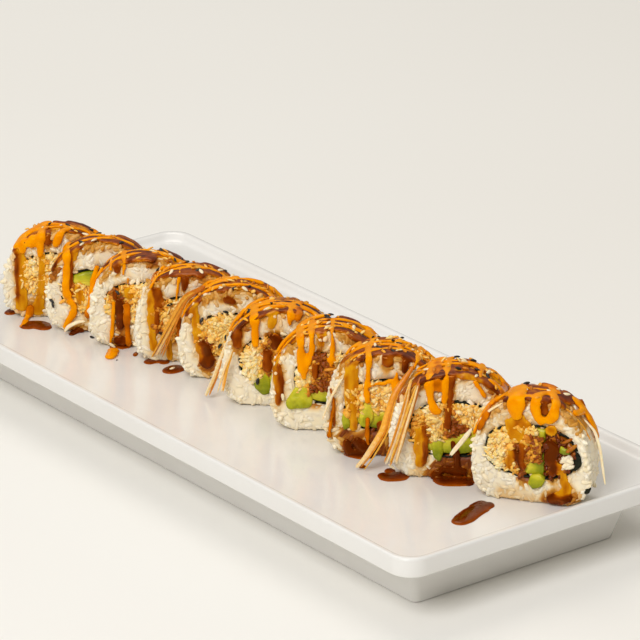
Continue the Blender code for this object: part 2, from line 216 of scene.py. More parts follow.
def steamed_rice():
    """Steamed short-grain rice dressed with vinegar: milky grains, moist shine, amber where sauce has soaked in, and
    tan as painted shade along the foot of the near slice.
    """
    mat, tree = new_material("steamed_vinegared_rice")
    place = add(tree, "ShaderNodeTexCoord").outputs["Object"]
    tone = add(tree, "ShaderNodeAttribute", {"attribute_name": "tone"})
    stain = add(tree, "ShaderNodeAttribute", {"attribute_name": "stain"})
    # Clouds half as long as a grain.
    grain = add(tree, "ShaderNodeTexNoise", {"Scale": lumps(2.38095), "Detail": 3.0}, {"Vector": place})
    level = add(tree, "ShaderNodeMath", {"operation": "MULTIPLY_ADD", 1: 0.45},
                {0: grain.outputs["Fac"], 2: tone.outputs["Fac"]})
    milky = add(tree, "ShaderNodeValToRGB",
                {"stops": ((0.15, "#e8d3aa"), (0.5, "#f6e4c0"), (1.0, "#fcf0d6"))}, {"Fac": level.outputs[0]})
    soaked = add(tree, "ShaderNodeValToRGB",
                 {"stops": ((0.0, "#efcf8c"), (0.4, "#d89c3a"), (0.75, "#a8600f"), (1.0, "#7a3806"))},
                 {"Fac": stain.outputs["Fac"]})
    amount = add(tree, "ShaderNodeMapRange", {"From Min": 0.0, "From Max": 0.5, "To Max": 1.0},
                 {"Value": stain.outputs["Fac"]})
    shade = add(tree, "ShaderNodeMix", {"data_type": "RGBA"},
                {"Factor": amount.outputs["Result"], "A": milky.outputs["Color"], "B": soaked.outputs["Color"]})
    pits = add(tree, "ShaderNodeBump", {"Strength": 0.25, "Distance": 0.0003}, {"Height": grain.outputs["Fac"]})
    shader = add(tree, "ShaderNodeBsdfPrincipled",
                 {"Roughness": 0.38, "IOR": 1.42, "Subsurface Weight": 0.25, "Subsurface Scale": 0.0008,
                  "Subsurface Radius": (1.0, 0.85, 0.6), "Specular IOR Level": 0.25},
                 {"Base Color": shade.outputs["Result"], "Normal": pits.outputs["Normal"]})
    return finished(mat, shader)


def roasted_nori():
    """Roasted seaweed sheet, pressed and softened by the rice: green-black, fibrous, with a dull sheen."""
    mat, tree = new_material("roasted_nori_sheet")
    place = add(tree, "ShaderNodeTexCoord").outputs["Object"]
    # Real fibres are a tenth of a millimetre wide; they are drawn as tufts of 1.1 mm, so that they show.
    weave = add(tree, "ShaderNodeTexNoise", {"Scale": lumps(1.11111), "Detail": 4.0, "Distortion": 1.2},
                {"Vector": place})
    shade = add(tree, "ShaderNodeValToRGB", {"stops": ((0.3, "#0f100b"), (0.75, "#2b2c1c"))},
                {"Fac": weave.outputs["Fac"]})
    rough = add(tree, "ShaderNodeMapRange", {"To Min": 0.3, "To Max": 0.55}, {"Value": weave.outputs["Fac"]})
    crinkle = add(tree, "ShaderNodeBump", {"Strength": 0.5, "Distance": 0.0003}, {"Height": weave.outputs["Fac"]})
    shader = add(tree, "ShaderNodeBsdfPrincipled", {"IOR": 1.45, "Specular IOR Level": 0.12},
                 {"Base Color": shade.outputs["Color"], "Roughness": rough.outputs["Result"],
                  "Normal": crinkle.outputs["Normal"]})
    return finished(mat, shader)


def shredded_crab(name, stops, rough):
    """Shredded crab salad bound with dressing: cream fibres turning orange and brown where sauce clings; in the salad
    a little darker in its hollows, which is painted shade.
    """
    mat, tree = new_material(name)
    place = add(tree, "ShaderNodeTexCoord").outputs["Object"]
    tone = add(tree, "ShaderNodeAttribute", {"attribute_name": "tone"})
    # Bundles of fibres, 1.4 mm across.
    fibre = add(tree, "ShaderNodeTexNoise", {"Scale": lumps(1.428571), "Detail": 3.0}, {"Vector": place})
    level = add(tree, "ShaderNodeMath", {"operation": "MULTIPLY_ADD", 1: 0.35},
                {0: fibre.outputs["Fac"], 2: tone.outputs["Fac"]})
    shade = add(tree, "ShaderNodeValToRGB", {"stops": stops}, {"Fac": level.outputs[0]})
    strands = add(tree, "ShaderNodeBump", {"Strength": 0.35, "Distance": 0.0004}, {"Height": fibre.outputs["Fac"]})
    shader = add(tree, "ShaderNodeBsdfPrincipled",
                 {"Roughness": rough, "IOR": 1.42, "Subsurface Weight": 0.3, "Subsurface Scale": 0.0012,
                  "Subsurface Radius": (1.0, 0.6, 0.3), "Specular IOR Level": 0.3},
                 {"Base Color": shade.outputs["Color"], "Normal": strands.outputs["Normal"]})
    return finished(mat, shader)


def ripe_avocado():
    """Ripe avocado, knife cut: buttery yellow-green turning bright green towards the skin side."""
    mat, tree = new_material("ripe_avocado_cut")
    place = add(tree, "ShaderNodeTexCoord").outputs["Object"]
    tone = add(tree, "ShaderNodeAttribute", {"attribute_name": "tone"})
    mottle = add(tree, "ShaderNodeTexNoise", {"Scale": lumps(3.030303), "Detail": 3.0}, {"Vector": place})
    level = add(tree, "ShaderNodeMath", {"operation": "MULTIPLY_ADD", 1: 0.6},
                {0: mottle.outputs["Fac"], 2: tone.outputs["Fac"]})
    shade = add(tree, "ShaderNodeValToRGB",
                {"stops": ((0.15, "#efd868"), (0.45, "#dacb38"), (0.7, "#b3b01a"), (1.0, "#7f8606"))},
                {"Fac": level.outputs[0]})
    smear = add(tree, "ShaderNodeBump", {"Strength": 0.3, "Distance": 0.0005}, {"Height": mottle.outputs["Fac"]})
    shader = add(tree, "ShaderNodeBsdfPrincipled",
                 {"Roughness": 0.34, "IOR": 1.44, "Subsurface Weight": 0.2, "Subsurface Scale": 0.0012,
                  "Subsurface Radius": (0.8, 1.0, 0.3), "Specular IOR Level": 0.3},
                 {"Base Color": shade.outputs["Color"], "Normal": smear.outputs["Normal"]})
    return finished(mat, shader)


def spicy_mayonnaise():
    """Chilli mayonnaise, squeezed on in lines: opaque orange, darker where it is thin over brown sauce."""
    mat, tree = new_material("spicy_mayonnaise")
    place = add(tree, "ShaderNodeTexCoord").outputs["Object"]
    dark = add(tree, "ShaderNodeAttribute", {"attribute_name": "dark"})
    streak = add(tree, "ShaderNodeTexNoise", {"Scale": lumps(3.846154), "Detail": 3.0}, {"Vector": place})
    level = add(tree, "ShaderNodeMath", {"operation": "MULTIPLY_ADD", 1: 0.3},
                {0: streak.outputs["Fac"], 2: dark.outputs["Fac"]})
    shade = add(tree, "ShaderNodeValToRGB",
                {"stops": ((0.1, "#f7a200"), (0.35, "#ef9200"), (0.7, "#d67400"), (1.0, "#9c4a00"))},
                {"Fac": level.outputs[0]})
    ripple = add(tree, "ShaderNodeBump", {"Strength": 0.12, "Distance": 0.0005}, {"Height": streak.outputs["Fac"]})
    shader = add(tree, "ShaderNodeBsdfPrincipled",
                 {"Roughness": 0.24, "IOR": 1.46, "Subsurface Weight": 0.12, "Subsurface Scale": 0.0012,
                  "Subsurface Radius": (1.0, 0.4, 0.1), "Specular IOR Level": 0.2, "Specular Tint": "#ffb84a"},
                 {"Base Color": shade.outputs["Color"], "Normal": ripple.outputs["Normal"]})
    return finished(mat, shader)


def eel_sauce():
    """Sweet soy glaze, reduced and poured: amber where thin, near black-brown where deep, mirror wet."""
    mat, tree = new_material("sweet_soy_glaze")
    place = add(tree, "ShaderNodeTexCoord").outputs["Object"]
    dark = add(tree, "ShaderNodeAttribute", {"attribute_name": "dark"})
    flow = add(tree, "ShaderNodeTexNoise", {"Scale": lumps(5.555556), "Detail": 3.0}, {"Vector": place})
    level = add(tree, "ShaderNodeMath", {"operation": "MULTIPLY_ADD", 1: 0.3},
                {0: flow.outputs["Fac"], 2: dark.outputs["Fac"]})
    shade = add(tree, "ShaderNodeValToRGB",
                {"stops": ((0.1, "#db9a10"), (0.35, "#bf7204"), (0.6, "#994802"), (0.8, "#7a2f00"),
                           (1.0, "#561c00"))},
                {"Fac": level.outputs[0]})
    shader = add(tree, "ShaderNodeBsdfPrincipled",
                 {"Roughness": 0.1, "IOR": 1.45, "Specular IOR Level": 0.42, "Specular Tint": "#ffab52"},
                 {"Base Color": shade.outputs["Color"]})
    return finished(mat, shader)


def sesame(name, stops):
    """Toasted sesame seed: a dry satin hull, mottled from seed to seed."""
    mat, tree = new_material(name)
    place = add(tree, "ShaderNodeTexCoord").outputs["Object"]
    # Mottles nearly as long as a seed, so that one seed differs from the next.
    hull = add(tree, "ShaderNodeTexNoise", {"Scale": lumps(2.0), "Detail": 2.0}, {"Vector": place})
    shade = add(tree, "ShaderNodeValToRGB", {"stops": stops}, {"Fac": hull.outputs["Fac"]})
    shader = add(tree, "ShaderNodeBsdfPrincipled", {"Roughness": 0.4, "IOR": 1.47},
                 {"Base Color": shade.outputs["Color"]})
    return finished(mat, shader)


def matt_floor():
    """White laminate under the plate, matt: a warm white with a barely visible drift."""
    mat, tree = new_material("matt_white_laminate")
    place = add(tree, "ShaderNodeTexCoord").outputs["Object"]
    drift = add(tree, "ShaderNodeTexNoise", {"Scale": lumps(666.6667), "Detail": 2.0}, {"Vector": place})
    white = add(tree, "ShaderNodeValToRGB", {"stops": ((0.3, "#ebe8e1"), (0.7, "#efede7"))},
                {"Fac": drift.outputs["Fac"]})
    shader = add(tree, "ShaderNodeBsdfPrincipled", {"Roughness": 0.7, "IOR": 1.45},
                 {"Base Color": white.outputs["Color"]})
    return finished(mat, shader)


def make(name, verts, faces, mat, values=()):
    """Make one smooth-shaded mesh from places in millimetres, triangles or quads, and named point values."""
    verts = np.asarray(verts, float)
    faces = np.asarray(faces)
    corners = faces.shape[1]
    mesh = bpy.data.meshes.new(name)
    mesh.vertices.add(len(verts))
    mesh.vertices.foreach_set("co", (verts * MM).ravel())
    mesh.loops.add(faces.size)
    mesh.loops.foreach_set("vertex_index", faces.ravel().astype(np.int32))
    mesh.polygons.add(len(faces))
    mesh.polygons.foreach_set("loop_start", np.arange(0, faces.size, corners, dtype=np.int32))
    mesh.polygons.foreach_set("use_smooth", np.ones(len(faces), bool))
    mesh.update(calc_edges=True)
    for key, numbers in dict(values).items():
        mesh.attributes.new(key, "FLOAT", "POINT").data.foreach_set("value", np.asarray(numbers, np.float32))
    mesh.validate()
    mesh.materials.append(mat)
    item = bpy.data.objects.new(name, mesh)
    bpy.context.scene.collection.objects.link(item)
    return item


def settle(item, slot, *nodes):
    """Let a piece ride on the object and stand for CAD nodes, which are hidden; slot is not used."""
    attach(item, "root")
    if nodes:
        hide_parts(*nodes)
    return item


def unit(rows):
    """Each row brought to length one."""
    return rows / np.maximum(np.linalg.norm(rows, axis=1), 1e-9)[:, None]


def pick(want, reach, rows):
    """Rows at the wanted distances along a line, whose own rows lie at the distances in reach."""
    return np.stack([np.interp(want, reach, column) for column in rows.T], axis=1)


def relax(rows, times):
    """Smooth a line of rows and hold its two ends."""
    for _ in range(times):
        rows[1:-1] = (rows[:-2] + 2 * rows[1:-1] + rows[2:]) / 4


def upright(flat, out):
    """Flat places (across, up) stood on a slice, at a distance out of its face."""
    return np.stack((flat[:, 0], np.broadcast_to(out, len(flat)), flat[:, 1]), axis=1)


def even_steps(x, z, count):
    """Pick points at even distances along a closed outline."""
    x = np.append(x, x[0])
    z = np.append(z, z[0])
    reach = np.concatenate(([0.0], np.cumsum(np.hypot(np.diff(x), np.diff(z)))))
    want = reach[-1] * np.arange(count) / count
    return np.stack((np.interp(want, reach, x), np.interp(want, reach, z)), axis=1)


def rounded(half, up, down, low_power, high_power):
    """Dense rounded outline about its own middle, squarer as the powers grow."""
    angle = np.linspace(0, 2 * math.pi, 720, endpoint=False)
    c, s = np.cos(angle), np.sin(angle)
    power = np.where(s >= 0, high_power, low_power)
    reach = np.where(s >= 0, up, down)
    return (half * np.sign(c) * np.abs(c) ** (2 / power), reach * np.sign(s) * np.abs(s) ** (2 / power))


def outline(piece, shrink, count):
    """Domed outer outline of a slice standing on a flat base, drawn in by shrink."""
    middle = WIDE_AT * piece.height
    x, z = rounded(piece.half - shrink, piece.height - middle - shrink, (middle - shrink) * FLAT_DEPTH,
                   BASE_POWER, TOP_POWER)
    return even_steps(x, np.maximum(z + middle, shrink * 0.5), count)


def loop_outline(piece, shrink, count):
    """Outline of the filling loop, drawn in by shrink."""
    half_w, half_h, x0, z0 = piece.loop
    x, z = rounded(half_w - shrink, half_h - shrink, half_h - shrink, 2.5, 2.3)
    return even_steps(x + x0, z + z0, count)


def keep_inside(piece, places):
    """Hold places above the plate and, on the near slice, which leans on it, off the lip."""
    places = places.copy()
    places[:, 2] = np.maximum(places[:, 2], FLOOR + 0.06)
    if piece.name == "j":
        inner, over_lip = PLATE_LENGTH / 2 - LIP_WIDTH - 0.9, PLATE_HEIGHT + 0.6
        low = places[:, 2] < over_lip
        limit = inner - 0.5 * (over_lip - places[:, 2])
        places[:, 0] = np.where(low, np.minimum(places[:, 0], limit), places[:, 0])
        places[:, 0] = np.minimum(places[:, 0], PLATE_LENGTH / 2 - 0.3)
    return places


def bridge(rows, count, closed=False):
    """Triangles that join rows of equal point count, each row a closed ring."""
    faces = []
    last = rows if closed else rows - 1
    step = np.arange(count)
    after = (step + 1) % count
    for row in range(last):
        low, high = row * count, ((row + 1) % rows) * count
        faces.append(np.stack((low + step, low + after, high + after), axis=1))
        faces.append(np.stack((low + step, high + after, high + step), axis=1))
    return np.concatenate(faces)


def ring_rows(piece, shrink, count, closed):
    """Rows of a rice ring: across the face, round the rim, along the side and over the back."""
    face = ((0.0, 0.0), (0.3, 0.0), (0.6, 0.0), (0.85, 0.0), (0.94, -0.25), (0.985, -0.9))
    depth = piece.depth
    stations = [(share, out - shrink) for share, out in face]
    stations += [(1.0, -2.0 - (depth - 4.0) * step / 5) for step in range(6)]
    stations += [(share, shrink - depth - out) for share, out in reversed(face)]
    outer = outline(piece, shrink, count)
    inner = loop_outline(piece, 0.0, count)
    rows = [upright(inner + share * (outer - inner), out) for share, out in stations]
    return np.concatenate(rows), bridge(len(stations), count, closed)


def fan(base, count):
    """Triangles that close a ring of points which starts at base."""
    step = np.arange(1, count - 1)
    return np.stack((np.full(count - 2, base), base + step, base + step + 1), axis=1)


def waver(places, size, seed):
    """Smooth noise from -1 to 1 at each place; size is the width of its lumps."""
    shift = Vector((seed * 7.3, seed * 3.1, seed * 5.7))
    return np.array([noise.noise(Vector(place) / size + shift) for place in places])


def outward(verts, faces):
    """Unit normals and areas of triangles."""
    a, b, c = (verts[faces[:, k]] for k in range(3))
    cross = np.cross(b - a, c - a)
    size = np.linalg.norm(cross, axis=1)
    return cross / np.maximum(size, 1e-9)[:, None], size / 2


def spread(verts, faces, space, tries, rng):
    """Even random places on triangles, no two nearer than space; returns places and normals."""
    normals, areas = outward(verts, faces)
    picked = rng.choice(len(faces), tries, p=areas / areas.sum())
    u, v = rng.random(tries), rng.random(tries)
    flip = u + v > 1
    u[flip], v[flip] = 1 - u[flip], 1 - v[flip]
    a, b, c = (verts[faces[picked, k]] for k in range(3))
    places = a + u[:, None] * (b - a) + v[:, None] * (c - a)
    kept = np.zeros((tries, 3))
    chosen = []
    for number, place in enumerate(places):
        near = ((kept[:len(chosen)] - place) ** 2).sum(axis=1)
        if not len(near) or near.min() > space ** 2:
            kept[len(chosen)] = place
            chosen.append(number)
    return places[chosen], normals[picked[chosen]]


def grain_form(rings, sides, blunt, bend):
    """Unit grain along x: rounded ends, slightly bent; returns points and triangles."""
    verts = [(-1.0, 0.0, 0.0)]
    for ring in range(1, rings + 1):
        u = -math.cos(math.pi * ring / (rings + 1))
        r = (1 - u * u) ** blunt
        for side in range(sides):
            angle = 2 * math.pi * side / sides
            verts.append((u, r * math.cos(angle), r * math.sin(angle) - bend * u * u))
    verts.append((1.0, 0.0, 0.0))
    verts = np.array(verts)
    verts[[0, -1], 2] -= bend
    faces = bridge(rings, sides) + 1
    step = np.arange(sides)
    after = (step + 1) % sides
    last = len(verts) - 1
    start = np.stack((np.zeros(sides, int), 1 + after, 1 + step), axis=1)
    end = np.stack((np.full(sides, last), last - sides + step, last - sides + after), axis=1)
    return verts, np.concatenate((faces, start, end))


def place_forms(form, faces, places, along, normals, sizes):
    """Copies of one form at places, each turned to along and normal and sized; returns mesh arrays."""
    side = np.cross(normals, along)
    axes = np.stack((along * sizes[:, :1], side * sizes[:, 1:2], normals * sizes[:, 2:]), axis=2)
    verts = np.einsum("nij,vj->nvi", axes, form) + places[:, None, :]
    shift = np.arange(len(places))[:, None, None] * len(form)
    return verts.reshape(-1, 3), (faces[None] + shift).reshape(-1, 3)


def tangents(normals, rng, tilt):
    """Random directions along a surface and its normals, tilted a little."""
    normals = unit(normals + rng.normal(0, tilt, normals.shape))
    along = rng.normal(0, 1, normals.shape)
    along -= normals * (along * normals).sum(axis=1)[:, None]
    return unit(along), normals


# Where the camera stands and what it sees.
camera_turn = Matrix.Rotation(math.radians(CAMERA_TURN), 3, "Z") @ Matrix.Rotation(
    math.radians(90 - CAMERA_DIP), 3, "X")
eye = Vector(CAMERA_PLACE) / MM


def sight(px, py):
    """Direction from the camera through a pixel of the photograph."""
    reach = LENS / SENSOR * PHOTO_WIDTH
    middle = PHOTO_WIDTH / 2
    return (camera_turn @ Vector(((px - middle) / reach, (middle - py) / reach, -1.0))).normalized()


def on_plate(ray):
    """Place in the plate's well that a direction from the camera meets."""
    return eye + ray * ((FLOOR - eye.z) / ray.z)


def make_skin(piece):
    """Smooth skin of a slice, bulged over its filling, for laying sauce on."""
    count = 120
    ring, _ = ring_rows(piece, -SKIN_RISE, count, False)
    rows = len(ring) // count
    centre = np.array((piece.loop[2], 0.0, piece.loop[3]))
    front, back = ring[:count], ring[-count:]
    extra_front = [centre + (front - centre) * (share, 1, share) + (0, lift, 0)
                   for share, lift in ((0.02, 1.1), (0.4, 1.0), (0.8, 0.6))]
    extra_back = [centre + (back - centre) * (share, 1, share) for share in (0.8, 0.4, 0.02)]
    verts = np.concatenate((*extra_front, ring, *extra_back))
    verts = keep_inside(piece, piece.world(verts))
    faces = bridge(rows + 6, count)
    return BVHTree.FromPolygons([tuple(v) for v in verts], [tuple(int(i) for i in f) for f in faces])


def lay_point(piece, skin, px, py):
    """Place on a slice, or on the plate before it, that a pixel shows, and its normal."""
    ray = sight(px, py)
    place, normal, _, _ = skin.ray_cast(eye, ray)
    if place is not None:
        return np.array(place), np.array(normal if normal.dot(ray) < 0 else -normal)
    onto = on_plate(ray)
    across, out, _ = piece.local(np.array(onto))
    if -1.0 < out < PLATE_OUT and abs(across) < PLATE_ACROSS:
        return np.array(onto), np.array((0.0, 0.0, 1.0))
    middle = Vector(piece.world((0.0, -piece.depth / 2, piece.height / 2)))
    nearest = eye + ray * (middle - eye).dot(ray)
    place, normal, _, _ = skin.find_nearest(nearest)
    return np.array(place), np.array(normal if normal.dot(nearest - place) > 0 else -normal)


def lay_stroke(piece, skin, pixels, local):
    """Dense places and normals along a stroke, given by pixels or, where local, by places on the slice."""
    points = np.array(pixels, float)
    parts = []
    for start, end in zip(points[:-1], points[1:]):
        steps = max(int(np.linalg.norm(end - start) * (1.0 if local else 0.8)), 1)
        parts += [start + (end - start) * step / steps for step in range(steps)]
    parts.append(points[-1])
    parts = np.array(parts)
    if len(parts) > 4:
        relax(parts, 1)
    found = []
    for part in parts:
        if local:
            target = Vector(piece.world(part))
            place, normal, _, _ = skin.find_nearest(target)
            middle = Vector(piece.world((piece.loop[2], -piece.depth / 2, piece.loop[3])))
            found.append((np.array(place), np.array(normal if normal.dot(place - middle) > 0 else -normal)))
        else:
            found.append(lay_point(piece, skin, *part))
    places = np.array([f[0] for f in found])
    normals = np.array([f[1] for f in found])
    relax(places, 2)
    relax(normals, 2)
    return places, unit(normals)


def resample(places, normals, widths, step):
    """Even steps along a stroke; widths are given at even shares of its length."""
    reach = np.concatenate(([0.0], np.cumsum(np.linalg.norm(np.diff(places, axis=0), axis=1))))
    count = max(int(reach[-1] / step), 3)
    want = np.linspace(0, reach[-1], count + 1)
    width = np.interp(want / reach[-1], np.linspace(0, 1, len(widths)), widths)
    return pick(want, reach, places), unit(pick(want, reach, normals)), width, want


def strip(places, normals, widths, want, lift, sink, sides=12):
    """Closed tube of sauce along a stroke: rounded above the surface, sunk a little into it."""
    side = unit(np.cross(normals, unit(np.gradient(places, axis=0))))
    radius = widths / 2
    near_end = np.minimum(want, want[-1] - want)
    taper = np.sqrt(np.clip(1 - (1 - np.clip(near_end / (0.8 * radius), 0, 1)) ** 2, 0.03, 1))
    angle = 2 * math.pi * np.arange(sides) / sides
    wide = radius[:, None] * taper[:, None] * np.cos(angle)
    rise = np.where(np.sin(angle) > 0, lift * np.sin(angle), sink * np.sin(angle))
    tall = np.minimum(radius, lift * 2.2)[:, None] / (lift * 2.2) * taper[:, None] * rise
    verts = places[:, None] + side[:, None] * wide[..., None] + normals[:, None] * tall[..., None]
    verts = verts.reshape(-1, 3)
    faces = bridge(len(places), sides)
    last = len(verts)
    verts = np.concatenate((verts, places[:1], places[-1:]))
    step = np.arange(sides)
    after = (step + 1) % sides
    start = np.stack((np.full(sides, last), after, step), axis=1)
    end = np.stack((np.full(sides, last + 1), last - sides + step, last - sides + after), axis=1)
    return verts, np.concatenate((faces, start, end))


def join(parts):
    """Join several mesh arrays into one."""
    verts, faces, shift = [], [], 0
    for part_verts, part_faces in parts:
        verts.append(part_verts)
        faces.append(part_faces + shift)
        shift += len(part_verts)
    return np.concatenate(verts), np.concatenate(faces)


def melt(name, parts, cell):
    """Run closed parts together into one smooth skin, as thick sauce does; returns mesh arrays."""
    verts, faces = join(parts)
    item = make(name + "_raw", verts, faces, plain)
    remesh = item.modifiers.new("melt", "REMESH")
    remesh.mode = "VOXEL"
    remesh.voxel_size = cell * MM
    remesh.adaptivity = 0.0
    settle_down = item.modifiers.new("smooth", "SMOOTH")
    settle_down.factor = 0.5
    settle_down.iterations = SMOOTHINGS
    lighter = item.modifiers.new("lighter", "DECIMATE")
    lighter.ratio = 0.5
    triangles = item.modifiers.new("triangles", "TRIANGULATE")
    triangles.quad_method = "SHORTEST_DIAGONAL"
    graph = bpy.context.evaluated_depsgraph_get()
    mesh = item.evaluated_get(graph).to_mesh()
    done = np.empty(len(mesh.vertices) * 3)
    mesh.vertices.foreach_get("co", done)
    corners = np.empty(len(mesh.loops), np.int32)
    mesh.loops.foreach_get("vertex_index", corners)
    item.evaluated_get(graph).to_mesh_clear()
    bpy.data.objects.remove(item, do_unlink=True)
    return done.reshape(-1, 3) / MM, corners.reshape(-1, 3)


plain = bpy.data.materials.new("working_surface")
skins = {name: make_skin(piece) for name, piece in SLICES.items()}
